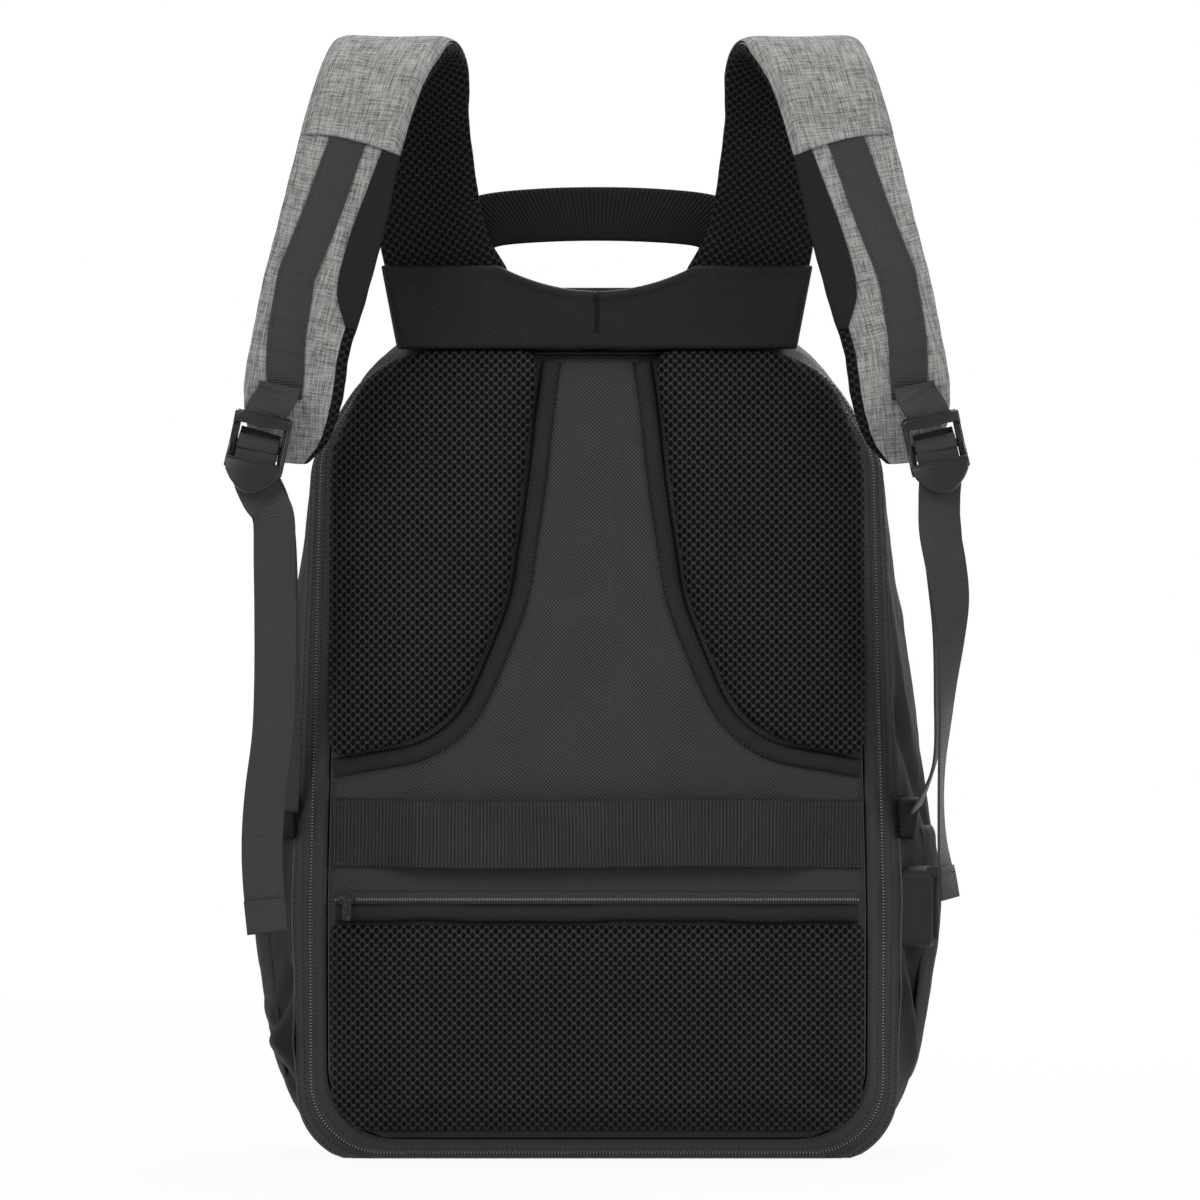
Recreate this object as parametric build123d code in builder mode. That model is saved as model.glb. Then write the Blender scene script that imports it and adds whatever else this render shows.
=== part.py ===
"""Solar backpack with a rear opening back panel, padded harness and USB outlet.

Millimetres, +Z up, -Y towards the wearer, origin in the middle of the resting base.
"""

import os
from math import cos, radians, sin

from build123d import *

os.makedirs("parts", exist_ok=True)

# ---------------------------------------------------------------- driving dimensions
RIM_Y = -80.0                    # y of the zip line that separates door and bag
WALL = 4.0                       # padded shell wall
FLOOR = 10.0                     # base thickness under the compartment
SIDES = ((-1, "left"), (1, "right"))

# Half outlines of the bag, five corners each from the base up: (half width, height).
CORNER_R = (42.0, 150.0, 45.0, 40.0, 40.0)
BULGE_R = (80.0, 200.0, 60.0, 50.0, 60.0)
ZIP_LINE = ((168.0, 4.0), (168.5, 150.0), (162.0, 418.0), (133.0, 463.0), (82.0, 474.5))
DOOR_EDGE = ((159.0, 12.0), (159.5, 150.0), (153.0, 422.0), (127.0, 463.0), (80.0, 474.5))
RIM = ((176.0, -3.0), (180.0, 150.0), (168.0, 414.0), (136.0, 465.0), (84.0, 474.5))
MIDDLE = ((180.0, -5.0), (205.0, 150.0), (167.0, 405.0), (124.0, 478.0), (80.0, 503.0))
SEAM = ((174.0, -4.0), (197.0, 150.0), (160.0, 392.0), (114.0, 458.0), (72.0, 480.0))
SHOULDER = ((162.0, 8.0), (180.0, 150.0), (146.0, 368.0), (100.0, 426.0), (62.0, 444.0))
FRONT = ((144.0, 26.0), (160.0, 150.0), (128.0, 350.0), (86.0, 398.0), (52.0, 412.0))
RIM_DEPTH, MIDDLE_DEPTH, SEAM_DEPTH, SHOULDER_DEPTH, FRONT_DEPTH = 10.0, 68.0, 122.0, 150.0, 164.0
BAG_SPANS = 2                    # loft spans between two of these outlines

# Zip
TAPE = 1.2                       # tape thickness
ZIP_GAP = 1.6                    # slot between the two tapes, closed by the teeth
DOOR_TOP = 474.5                 # flat top run of the zip

# ------------------------------------------------------------------ reference planes
BACK = Plane(origin=(0, RIM_Y, 0), x_dir=(1, 0, 0), z_dir=(0, -1, 0))   # (X, Z), up = -Y
SIDE = Plane(origin=(0, RIM_Y, 0), x_dir=(0, 1, 0), z_dir=(1, 0, 0))    # (depth, Z)
LEVEL = Plane(origin=(0, RIM_Y, 0), x_dir=(1, 0, 0), z_dir=(0, 0, 1))   # (X, depth)


def outline(half, radii, grow=0.0, lift=0.0):
    """Closed symmetric outline; grow moves the sides and top, lift the bottom."""
    (x1, z1), (x2, z2), (x3, z3), (x4, z4), (x5, z5) = half
    right = [
        (x1 + grow, z1 + lift - grow), (x2 + grow, z2), (x3 + grow, z3 + grow / 2),
        (x4 + grow * 0.7, z4 + grow), (x5 + grow * 0.4, z5 + grow),
    ]
    points = right + [(-x, z) for x, z in reversed(right)]
    corners = list(radii) + list(reversed(radii))
    with BuildSketch() as flat:
        with BuildLine():
            FilletPolyline(*points, radius=corners, close=True)
        make_face()
    return flat.sketch


def smooth(rows, steps):
    """Rows of numbers with steps spans between each pair, on a smooth curve through all."""
    ends = [rows[0], *rows, rows[-1]]
    fine = []
    for a, b, c, d in zip(ends, ends[1:], ends[2:], ends[3:]):
        for i in range(steps):
            t = i / steps
            fine.append(tuple(
                q + t * (r - p) / 2 + t**2 * (p - 2.5 * q + 2 * r - s / 2)
                + t**3 * (1.5 * (q - r) + (s - p) / 2)
                for p, q, r, s in zip(a, b, c, d)))
    return fine + [tuple(rows[-1])]


def bag_solid(grow=0.0, lift=0.0, last=FRONT_DEPTH):
    """Solid envelope of the bag, lofted from the rim to the front face."""
    rows = [
        (depth, *sum(half, ()), *radii) for depth, half, radii in (
            (RIM_DEPTH, RIM, CORNER_R), (MIDDLE_DEPTH, MIDDLE, BULGE_R), (SEAM_DEPTH, SEAM, BULGE_R),
            (SHOULDER_DEPTH, SHOULDER, BULGE_R), (last, FRONT, BULGE_R))
    ]
    with BuildPart() as bag:
        for depth, *numbers in smooth(rows, BAG_SPANS):
            with BuildSketch(BACK.offset(-depth)):
                add(outline(list(zip(numbers[0:10:2], numbers[1:10:2])), numbers[10:], grow, lift))
        loft(ruled=True)
    return bag.part


def path_planes(points, lift=0.0, shift=0.0):
    """Planes along (x, depth, z) points: local x across, local y out of the outer face."""
    spots = [Vector(x, RIM_Y + depth, z) for x, depth, z in points]
    planes = []
    for i, spot in enumerate(spots):
        along = (spots[min(i + 1, len(spots) - 1)] - spots[max(i - 1, 0)]).normalized()
        across = (Vector(1, 0, 0) - along * along.X).normalized()
        out = along.cross(across)
        planes.append(Plane(origin=spot + out * lift + across * shift, x_dir=across, z_dir=along))
    return planes


# ------------------------------------------------------------------------- bag shell
outer = bag_solid()
inner = bag_solid(-WALL, FLOOR - WALL, FRONT_DEPTH - WALL)
wall = outer - inner

BASE_HALF = 120.0                # seam between base panel and gussets
BASE_SEAM_Z = 34.0
TOP_SEAM_Z = 432.0
HUGE = 700.0

with BuildPart() as front_panel:
    add(wall)
    with Locations((0, RIM_Y + SEAM_DEPTH + HUGE / 2, HUGE / 2)):
        Box(HUGE, HUGE, HUGE, mode=Mode.INTERSECT)
front_panel.part.label = "front_panel"
export_step(front_panel.part, "parts/front_panel.step")

with BuildPart() as base_panel:
    add(wall)
    with Locations((0, RIM_Y + SEAM_DEPTH / 2, BASE_SEAM_Z / 2)):
        Box(2 * BASE_HALF, SEAM_DEPTH, BASE_SEAM_Z, mode=Mode.INTERSECT)
base_panel.part.label = "base_panel"
export_step(base_panel.part, "parts/base_panel.step")

with BuildPart() as top_gusset:
    add(wall)
    with Locations((0, RIM_Y + SEAM_DEPTH / 2, TOP_SEAM_Z + HUGE / 2)):
        Box(HUGE, SEAM_DEPTH, HUGE, mode=Mode.INTERSECT)
top_gusset.part.label = "top_gusset"
export_step(top_gusset.part, "parts/top_gusset.step")

for side, word in SIDES:
    with BuildPart() as gusset:
        add(wall)
        with Locations((side * HUGE / 2, RIM_Y + SEAM_DEPTH / 2, TOP_SEAM_Z / 2)):
            Box(HUGE, SEAM_DEPTH, TOP_SEAM_Z, mode=Mode.INTERSECT)
        with Locations((0, RIM_Y + SEAM_DEPTH / 2, BASE_SEAM_Z / 2)):
            Box(2 * BASE_HALF, SEAM_DEPTH, BASE_SEAM_Z, mode=Mode.SUBTRACT)
    gusset.part.label = f"gusset_{word}"
    export_step(gusset.part, f"parts/gusset_{word}.step")

# Piping over the seam between the front panel and the gussets
PIPING = 2.4
with BuildPart() as front_piping:
    with BuildSketch(BACK.offset(-SEAM_DEPTH - PIPING)):
        add(outline(SEAM, BULGE_R, PIPING))
    extrude(amount=2 * PIPING)
    add(outer, mode=Mode.SUBTRACT)
    with Locations((0, RIM_Y + SEAM_DEPTH, -HUGE / 2)):
        Box(HUGE, HUGE, HUGE, mode=Mode.SUBTRACT)
front_piping.part.label = "front_piping"
export_step(front_piping.part, "parts/front_piping.step")

# Slip pockets lying flat on both gussets
POCKET_SKIN = 2.2
POCKET_DEPTH, POCKET_Z = (39.0, 112.0), (44.0, 196.0)
skin = bag_solid(POCKET_SKIN)
for side, word in SIDES:
    with BuildPart() as side_pocket:
        add(skin)
        add(outer, mode=Mode.SUBTRACT)
        with Locations((side * 150, RIM_Y + sum(POCKET_DEPTH) / 2, sum(POCKET_Z) / 2)):
            Box(180, POCKET_DEPTH[1] - POCKET_DEPTH[0], POCKET_Z[1] - POCKET_Z[0],
                mode=Mode.INTERSECT)
    side_pocket.part.label = f"side_pocket_{word}"
    export_step(side_pocket.part, f"parts/side_pocket_{word}.step")

# --------------------------------------------------------------- zip tapes, all round
with BuildPart() as rim_zip_tape:
    for grow, mode in ((0.0, Mode.ADD), (-TAPE, Mode.SUBTRACT)):
        with BuildSketch(BACK.offset(-ZIP_GAP / 2)):
            add(outline(ZIP_LINE, CORNER_R, grow))
        with BuildSketch(BACK.offset(-RIM_DEPTH)):
            add(outline(RIM, CORNER_R, grow))
        loft(ruled=True, mode=mode)
    with Locations((0, RIM_Y, -HUGE / 2)):
        Box(HUGE, HUGE, HUGE, mode=Mode.SUBTRACT)
rim_zip_tape.part.label = "rim_zip_tape"
export_step(rim_zip_tape.part, "parts/rim_zip_tape.step")

BOARD_FACE = 8.0                 # door board face, towards the wearer
BOARD = 4.0
with BuildPart() as door_zip_tape:
    for grow, mode in ((0.0, Mode.ADD), (-TAPE, Mode.SUBTRACT)):
        with BuildSketch(BACK.offset(ZIP_GAP / 2)):
            add(outline(ZIP_LINE, CORNER_R, grow))
        with BuildSketch(BACK.offset(BOARD_FACE)):
            add(outline(DOOR_EDGE, CORNER_R, grow))
        loft(ruled=True, mode=mode)
door_zip_tape.part.label = "door_zip_tape"
export_step(door_zip_tape.part, "parts/door_zip_tape.step")

# -------------------------------------------------------------------- back panel door
with BuildPart() as back_board:
    with BuildSketch(BACK.offset(BOARD_FACE - BOARD)):
        add(outline(DOOR_EDGE, CORNER_R, -TAPE))
    extrude(amount=BOARD)
back_board.part.label = "back_board"
export_step(back_board.part, "parts/back_board.step")

SPINE = 3.0
PAD_FACE = BOARD_FACE + SPINE    # pads are sewn on this face
with BuildPart() as spine_panel:
    with BuildSketch(BACK.offset(BOARD_FACE)):
        add(outline(DOOR_EDGE, CORNER_R, -1.5))
    extrude(amount=SPINE)
spine_panel.part.label = "spine_panel"
export_step(spine_panel.part, "parts/spine_panel.step")

PAD = 14.0                       # upper mesh pad thickness
PAD_HALF = 155.0
PAD_TOP = 470.0
PAD_ROUND = 6.0
BINDING, BINDING_UP = 11.0, 6.0


# Seam between pad and spine panel, from the top down and out to the side
SEAM_LINE = ((32, PAD_TOP), (50, 332), (84, 249), (PAD_HALF, 236))
SEAM_R = (110, 62)


def seam_points(side, shift=0.0):
    """The seam's corners, moved by shift towards the spine."""
    slant = ((-1, 0), (-1, -0.15), (-0.55, -1), (0, -1))
    return [(side * (x + shift * a), z + shift * b) for (x, z), (a, b) in zip(SEAM_LINE, slant)]


for side, word in SIDES:
    with BuildPart() as upper_pad:
        with BuildSketch(BACK.offset(PAD_FACE)):
            with BuildLine():
                FilletPolyline(
                    (side * PAD_HALF, 412), (side * 134, 457), (side * 104, PAD_TOP),
                    *seam_points(side), radius=(45, 40, 40, 8, *SEAM_R, 8), close=True)
            make_face()
        extrude(amount=PAD)
        fillet(upper_pad.faces().sort_by(Axis.Y)[0].edges(), PAD_ROUND)
    upper_pad.part.label = f"upper_pad_{word}"
    export_step(upper_pad.part, f"parts/upper_pad_{word}.step")

    with BuildPart() as pad_binding:
        with BuildSketch(BACK.offset(PAD_FACE)):
            with BuildLine():
                near = FilletPolyline(*seam_points(side), radius=SEAM_R)
                far = FilletPolyline(*seam_points(side, BINDING), radius=SEAM_R)
                Line(near @ 0, far @ 0)
                Line(near @ 1, far @ 1)
            make_face()
        extrude(amount=BINDING_UP)
        add(upper_pad.part, mode=Mode.SUBTRACT)
    pad_binding.part.label = f"pad_binding_{word}"
    export_step(pad_binding.part, f"parts/pad_binding_{word}.step")

LUMBAR_Z, LUMBAR, LUMBAR_ROUND = (14.0, 140.0), 12.0, 8.0
with BuildPart() as lumbar_pad:
    with BuildSketch(BACK.offset(PAD_FACE)) as lumbar_face:
        with Locations((0, sum(LUMBAR_Z) / 2)):
            Rectangle(2 * PAD_HALF, LUMBAR_Z[1] - LUMBAR_Z[0])
        fillet(lumbar_face.vertices().group_by(Axis.Y)[0], 30)
    extrude(amount=LUMBAR)
    fillet(lumbar_pad.faces().sort_by(Axis.Y)[0].edges(), LUMBAR_ROUND)
lumbar_pad.part.label = "lumbar_pad"
export_step(lumbar_pad.part, "parts/lumbar_pad.step")

POCKET_TOP = 150.0               # upper edge of the binding over the lumbar pocket zip
with BuildPart() as lumbar_binding:
    with BuildSketch(BACK.offset(PAD_FACE)):
        with Locations((0, (LUMBAR_Z[1] + POCKET_TOP) / 2)):
            Rectangle(2 * PAD_HALF, POCKET_TOP - LUMBAR_Z[1])
    extrude(amount=BINDING_UP + 1)
lumbar_binding.part.label = "lumbar_binding"
export_step(lumbar_binding.part, "parts/lumbar_binding.step")

COIL, COIL_Z = 1.6, 153.2        # lumbar pocket zip: coil height and centre line
POCKET_ZIP_HALF = 153.0
with BuildPart() as pocket_zip:
    with BuildSketch(BACK.offset(PAD_FACE)):
        with Locations((0, 154)):
            Rectangle(2 * POCKET_ZIP_HALF, 7.6)
    extrude(amount=TAPE)
    with BuildSketch(BACK.offset(PAD_FACE + TAPE)):
        with Locations((0, COIL_Z)):
            Rectangle(2 * POCKET_ZIP_HALF, 2.4)
    extrude(amount=COIL)
pocket_zip.part.label = "pocket_zip"
export_step(pocket_zip.part, "parts/pocket_zip.step")

SOFT_GAP = 0.4                   # clearance kept between pieces that move on each other
POCKET_PULL_X = -147.0
with BuildPart() as pocket_slider:
    face = PAD_FACE + TAPE + SOFT_GAP
    with BuildSketch(BACK.offset(face)):
        with Locations((POCKET_PULL_X, COIL_Z)):
            RectangleRounded(9, 5.2, 1.2)
    extrude(amount=COIL + 1.6)
    with BuildSketch(BACK.offset(face)):
        with Locations((POCKET_PULL_X, COIL_Z)):
            Rectangle(20, 2.4 + 2 * SOFT_GAP)
    extrude(amount=COIL, mode=Mode.SUBTRACT)
    with BuildSketch(BACK.offset(face + COIL + 1.6)):
        with Locations((POCKET_PULL_X, COIL_Z)):
            RectangleRounded(4, 3.6, 0.8)
    extrude(amount=5.2)
pocket_slider.part.label = "pocket_slider"
export_step(pocket_slider.part, "parts/pocket_slider.step")

with BuildPart() as pocket_pull:
    with BuildSketch(BACK.offset(face + COIL + 1.6 + 5.2)):
        with Locations((POCKET_PULL_X, 148.5)):
            RectangleRounded(5.5, 15, 2)
    extrude(amount=1.2)
pocket_pull.part.label = "pocket_pull"
export_step(pocket_pull.part, "parts/pocket_pull.step")

# Trolley strap: flat ends sewn on the spine panel, middle standing off
STRAP_Z, STRAP_H = 172.0, 40.0
STRAP_T, STRAP_OFF = 2.2, 8.0
with BuildPart() as luggage_strap:
    low = [(156, 0), (128, 0), (104, STRAP_OFF), (-104, STRAP_OFF), (-128, 0), (-156, 0)]
    high = [(-156, STRAP_T), (-128, STRAP_T), (-104, STRAP_OFF + STRAP_T),
            (104, STRAP_OFF + STRAP_T), (128, STRAP_T), (156, STRAP_T)]
    with BuildSketch(LEVEL.offset(STRAP_Z)):
        with BuildLine():
            Polyline([(x, -PAD_FACE - up) for x, up in low + high], close=True)
        make_face()
    extrude(amount=STRAP_H)
luggage_strap.part.label = "luggage_strap"
export_step(luggage_strap.part, "parts/luggage_strap.step")

SLEEVE_HALF, SLEEVE_Z, SLEEVE_DEPTH, SLEEVE_T = 135.0, (38.0, 330.0), 22.0, 2.4
with BuildPart() as laptop_sleeve:
    with BuildSketch(BACK.offset(BOARD_FACE - BOARD - SLEEVE_DEPTH)):
        with Locations((0, sum(SLEEVE_Z) / 2)):
            Rectangle(2 * SLEEVE_HALF, SLEEVE_Z[1] - SLEEVE_Z[0])
    extrude(amount=SLEEVE_DEPTH)
    with BuildSketch(BACK.offset(BOARD_FACE - BOARD - SLEEVE_DEPTH + SLEEVE_T)):
        with Locations((0, sum(SLEEVE_Z) / 2 + SLEEVE_T)):
            Rectangle(2 * (SLEEVE_HALF - SLEEVE_T), SLEEVE_Z[1] - SLEEVE_Z[0])
    extrude(amount=SLEEVE_DEPTH, mode=Mode.SUBTRACT)
laptop_sleeve.part.label = "laptop_sleeve"
export_step(laptop_sleeve.part, "parts/laptop_sleeve.step")

# ---------------------------------------------------------------- main zip, two sliders
SLIDER_X, SLIDER_L, SLIDER_W, SLIDER_PLATE = 10.0, 12.0, 6.8, 1.0
TAPE_PLAY = 0.35
for side, word in SIDES:
    with BuildPart() as zip_slider:
        with Locations((side * SLIDER_X, RIM_Y, DOOR_TOP + TAPE_PLAY + SLIDER_PLATE / 2)):
            Box(SLIDER_L, SLIDER_W, SLIDER_PLATE)
        with Locations((side * SLIDER_X, RIM_Y, DOOR_TOP - TAPE - TAPE_PLAY - SLIDER_PLATE / 2)):
            Box(SLIDER_L, SLIDER_W, SLIDER_PLATE)
        with Locations((side * SLIDER_X, RIM_Y, DOOR_TOP - TAPE / 2)):
            Box(5, ZIP_GAP - 0.7, TAPE + 2 * TAPE_PLAY + SLIDER_PLATE)
        with Locations((side * SLIDER_X, RIM_Y, DOOR_TOP + TAPE_PLAY + SLIDER_PLATE + 1.2)):
            Box(7, 2.4, 2.4)
            Box(4, 4, 1.3, mode=Mode.SUBTRACT)
    zip_slider.part.label = f"zip_slider_{word}"
    export_step(zip_slider.part, f"parts/zip_slider_{word}.step")

    with BuildPart() as zip_pull:
        with Locations((side * (SLIDER_X + 13), RIM_Y, DOOR_TOP + TAPE_PLAY + SLIDER_PLATE + 1.2)):
            Box(28, 6, 1.1)
            fillet(zip_pull.edges().filter_by(Axis.Z), 2.5)
        with Locations((side * (SLIDER_X + 2.5), RIM_Y,
                        DOOR_TOP + TAPE_PLAY + SLIDER_PLATE + 1.2)):
            Box(2.2, 3.2, 5, mode=Mode.SUBTRACT)
    zip_pull.part.label = f"zip_pull_{word}"
    export_step(zip_pull.part, f"parts/zip_pull_{word}.step")

# -------------------------------------------------------------------- yoke and handle
YOKE_BACK, YOKE_FACE = 17.0, 26.0
YOKE_Z = (476.5, 526.0)
DECK_Z = 513.0                   # top of the yoke gusset where straps and handle stand
with BuildPart() as yoke_panel:
    with BuildSketch(BACK.offset(YOKE_BACK)):
        with BuildLine():
            Polyline((58, YOKE_Z[1]), (127, YOKE_Z[1]), (117.5, YOKE_Z[0]),
                     (-117.5, YOKE_Z[0]), (-127, YOKE_Z[1]), (-58, YOKE_Z[1]))
            ThreePointArc((58, YOKE_Z[1]), (0, 511), (-58, YOKE_Z[1]))
        make_face()
    extrude(amount=YOKE_FACE - YOKE_BACK)
    fillet(yoke_panel.faces().sort_by(Axis.Y)[0].edges(), 2.5)
yoke_panel.part.label = "yoke_panel"
export_step(yoke_panel.part, "parts/yoke_panel.step")

with BuildPart() as yoke_gusset:
    with BuildSketch(SIDE.offset(-113)):
        with BuildLine():
            Polyline((-YOKE_BACK, 488), (-YOKE_BACK, DECK_Z), (8, DECK_Z), (62, 503),
                     (62, 470), (16, 470), (16, 488), close=True)
        make_face()
    extrude(amount=226)
    add(outer, mode=Mode.SUBTRACT)
yoke_gusset.part.label = "yoke_gusset"
export_step(yoke_gusset.part, "parts/yoke_gusset.step")

HANDLE_T, HANDLE_DEPTH = 3.0, 3.0
HANDLE_FOOT = DECK_Z + SOFT_GAP  # round foot, turning about its own middle
HANDLE_OUTER = ((104, HANDLE_FOOT), (102.5, 534), (95, 551), (80, 563), (60, 569), (30, 572.3), (0, 573))
HANDLE_INNER = ((71, HANDLE_FOOT), (70.3, 523), (67, 530.5), (59, 536.5), (30, 540.2), (0, 541))
with BuildPart() as grab_handle:
    with BuildSketch(BACK.offset(-HANDLE_DEPTH - HANDLE_T / 2)):
        with BuildLine():
            Spline(*[(x, z) for x, z in HANDLE_OUTER],
                   *[(-x, z) for x, z in reversed(HANDLE_OUTER[:-1])])
            Line((-104, HANDLE_FOOT), (-71, HANDLE_FOOT))
            Spline(*[(-x, z) for x, z in HANDLE_INNER],
                   *[(x, z) for x, z in reversed(HANDLE_INNER[:-1])])
            Line((71, HANDLE_FOOT), (104, HANDLE_FOOT))
        make_face()
    extrude(amount=HANDLE_T)
    fillet(grab_handle.edges().filter_by(Axis.X), HANDLE_T / 2 - 0.05)
grab_handle.part.label = "grab_handle"
export_step(grab_handle.part, "parts/grab_handle.step")

# -------------------------------------------------------------------- shoulder straps
# Centre line from the yoke over the crest to the tip: x, depth, z, width, thickness
STRAP = (
    (94, -9.0, DECK_Z - 2, 72, 11), (100, -10, 560, 64, 11), (106, -15, 605, 62, 11),
    (114, -32, 637, 62, 11), (124, -56, 650, 62, 11), (133, -79, 634, 62, 11),
    (144, -90, 597, 62, 11), (156, -92, 552, 62, 11), (166, -89, 511, 61, 11),
    (174, -83, 478, 58, 11), (180, -74, 447, 50, 10), (182, -64, 424, 38, 9),
    (182, -58, 410, 22, 7),
)
SPANS = 2                        # spans between two points of the table
STRAP = smooth(STRAP, SPANS)
FRONT_LEG = 6 * SPANS            # first point of the front leg
FACING_END = 9 * SPANS
WEBBING_END = 10 * SPANS
LINING, WEBBING_T, WEBBING = 1.8, 1.6, 24.0
WEBBING_SHIFT = (6.0, 13.0)      # off the strap's middle, at the seam and from mid leg down
MID_LEG = 5                      # strap points from the seam to mid leg
FACING, FACING_W = 1.0, 14.0
PAD_EDGE = 3.2                   # bevel along the strap pads
STRAP_ROOT = 270.0               # reach of the cut that stands the strap roots on the deck
LAYER = 0.04                     # lining on the pad
SEWN_GAP = 0.3                   # strips sewn on the curved outer face
BUCKLE_AT = (198.0, -84.0, 413.0)
BUCKLE_TILT = 12.0
BAR_R, BAR_UP, MID_UP = 2.5, 22.5, 5.5
FRAME_T, FRAME_HALF, SLOT_HALF = 6.0, 17.0, 13.4
FRAME_TOP, FRAME_LOW, SLOT_LOW = 24.0, -13.0, -8.2
TAB_TILT, TAB_T = 14.0, 2.4      # thumb tab, standing off in front of the webbing
CHEEK_T = 2.0                    # cheeks that carry the tab and the cross piece
BRIDGE_OUT, BRIDGE_T = 5.0, 2.2  # cross piece in front of the webbing's upper fold
LOOP_HALF = 12.0
WRAP_T = 3.4
TAIL_END = 135.0


def strap_rows(side, first=0, last=None):
    """Plane, width and thickness at each strap point of the range."""
    rows = STRAP[first:last]
    points = [(side * x, depth, z) for x, depth, z, _, _ in rows]
    return [(plane, row[3], row[4]) for plane, row in zip(path_planes(points), rows)]


for side, word in SIDES:
    with BuildPart() as strap_pad:
        for plane, width, thick in strap_rows(side):
            with BuildSketch(plane) as cut:
                Rectangle(width, thick)
                chamfer(cut.vertices(), PAD_EDGE)
        loft(ruled=True)
        with Locations((0, RIM_Y, DECK_Z - HUGE / 2)):
            Box(STRAP_ROOT, STRAP_ROOT, HUGE, mode=Mode.SUBTRACT)
    strap_pad.part.label = f"strap_pad_{word}"
    export_step(strap_pad.part, f"parts/strap_pad_{word}.step")

    with BuildPart() as strap_lining:
        for plane, width, thick in strap_rows(side):
            with BuildSketch(plane):
                with Locations((0, -thick / 2 - LINING / 2 - LAYER)):
                    Rectangle(width - 2 * PAD_EDGE, LINING)
        loft(ruled=True)
        with Locations((0, RIM_Y, DECK_Z - HUGE / 2)):
            Box(STRAP_ROOT, STRAP_ROOT, HUGE, mode=Mode.SUBTRACT)
    strap_lining.part.label = f"strap_lining_{word}"
    export_step(strap_lining.part, f"parts/strap_lining_{word}.step")

    with BuildPart() as strap_webbing:
        for i, (plane, _, thick) in enumerate(strap_rows(side, FRONT_LEG, WEBBING_END + 1)):
            near, far = WEBBING_SHIFT
            shift = near + (far - near) * min(i / MID_LEG, 1)
            with BuildSketch(plane):
                with Locations((side * shift, thick / 2 + WEBBING_T / 2 + SEWN_GAP)):
                    Rectangle(WEBBING, WEBBING_T)
        loft(ruled=True)
    strap_webbing.part.label = f"strap_webbing_{word}"
    export_step(strap_webbing.part, f"parts/strap_webbing_{word}.step")

    with BuildPart() as strap_facing:
        for plane, width, thick in strap_rows(side, FRONT_LEG, FACING_END + 1):
            with BuildSketch(plane):
                with Locations((side * (FACING_W / 2 - width / 2 + PAD_EDGE),
                                thick / 2 + FACING / 2 + SEWN_GAP)):
                    Rectangle(FACING_W, FACING)
        loft(ruled=True)
    strap_facing.part.label = f"strap_facing_{word}"
    export_step(strap_facing.part, f"parts/strap_facing_{word}.step")

    # ------------------------------------------------------- ladder lock on its loop
    x, depth, z = BUCKLE_AT
    centre = Vector(side * x, RIM_Y + depth, z)
    tilt = radians(BUCKLE_TILT)
    across = Vector(cos(tilt), 0, side * sin(tilt))
    up = Vector(-side * sin(tilt), 0, cos(tilt))
    out = Vector(0, -1, 0)
    face_on = Plane(origin=centre, x_dir=across, z_dir=out)         # (across, up)
    edge_on = Plane(origin=centre, x_dir=up, z_dir=across)          # (up, out)
    lean = radians(TAB_TILT)
    tab_foot = centre - up * 4.4 + out * 10
    tab_on = Plane(origin=tab_foot, x_dir=across, z_dir=out * cos(lean) + up * sin(lean))

    with BuildPart() as buckle:
        with BuildSketch(face_on.offset(-FRAME_T / 2)):
            with BuildLine():
                FilletPolyline(
                    (-FRAME_HALF, FRAME_TOP), (FRAME_HALF, FRAME_TOP), (FRAME_HALF, -8),
                    (11, FRAME_LOW), (-11, FRAME_LOW), (-FRAME_HALF, -8),
                    radius=(2, 2, 3, 3, 3, 3), close=True)
            make_face()
            with Locations((0, SLOT_LOW + HUGE / 2)):
                Rectangle(2 * SLOT_HALF, HUGE, mode=Mode.SUBTRACT)
        extrude(amount=FRAME_T)
        for way in (-1, 1):
            cheek = edge_on.offset(way * (FRAME_HALF - CHEEK_T / 2))
            with BuildSketch(cheek):
                with BuildLine():
                    Polyline((6, 2), (-4.4, 12.4), (-9, 13.4), (-9, 2), close=True)
                make_face()
                with BuildLine():
                    Polyline((FRAME_TOP, 2), (FRAME_TOP, BRIDGE_OUT + BRIDGE_T),
                             (18, BRIDGE_OUT + BRIDGE_T), (15, 2), close=True)
                make_face()
            extrude(amount=CHEEK_T / 2, both=True)
        with BuildSketch(face_on.offset(BRIDGE_OUT)):
            with Locations((0, (FRAME_TOP + 18) / 2)):
                Rectangle(2 * FRAME_HALF, FRAME_TOP - 18)
        extrude(amount=BRIDGE_T)
        with BuildSketch(tab_on):
            with BuildLine():
                FilletPolyline((-FRAME_HALF, 1), (FRAME_HALF, 1), (FRAME_HALF, -4), (7, -18), (-7, -18),
                               (-FRAME_HALF, -4), radius=(0.8, 0.8, 7, 6, 6, 7), close=True)
            make_face()
        extrude(amount=TAB_T)
        with BuildSketch(edge_on.offset(-FRAME_HALF + 1)):
            with Locations((BAR_UP, 0), (MID_UP, 0)):
                Circle(BAR_R)
        extrude(amount=2 * FRAME_HALF - 2)
    buckle.part.label = f"buckle_{word}"
    export_step(buckle.part, f"parts/buckle_{word}.step")

    with BuildPart() as buckle_loop:
        with BuildSketch(edge_on.offset(-LOOP_HALF)):
            with Locations((BAR_UP, 0)):
                Circle(BAR_R + SOFT_GAP + WEBBING_T)
            with BuildLine():
                Polyline((BAR_UP, -4.5), (BAR_UP + 21, 0.9), (BAR_UP + 21, 2.8), (BAR_UP, 4.5),
                         close=True)
            make_face()
            with Locations((BAR_UP, 0)):
                Circle(BAR_R + SOFT_GAP, mode=Mode.SUBTRACT)
        extrude(amount=2 * LOOP_HALF)
    buckle_loop.part.label = f"buckle_loop_{word}"
    export_step(buckle_loop.part, f"parts/buckle_loop_{word}.step")

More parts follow.
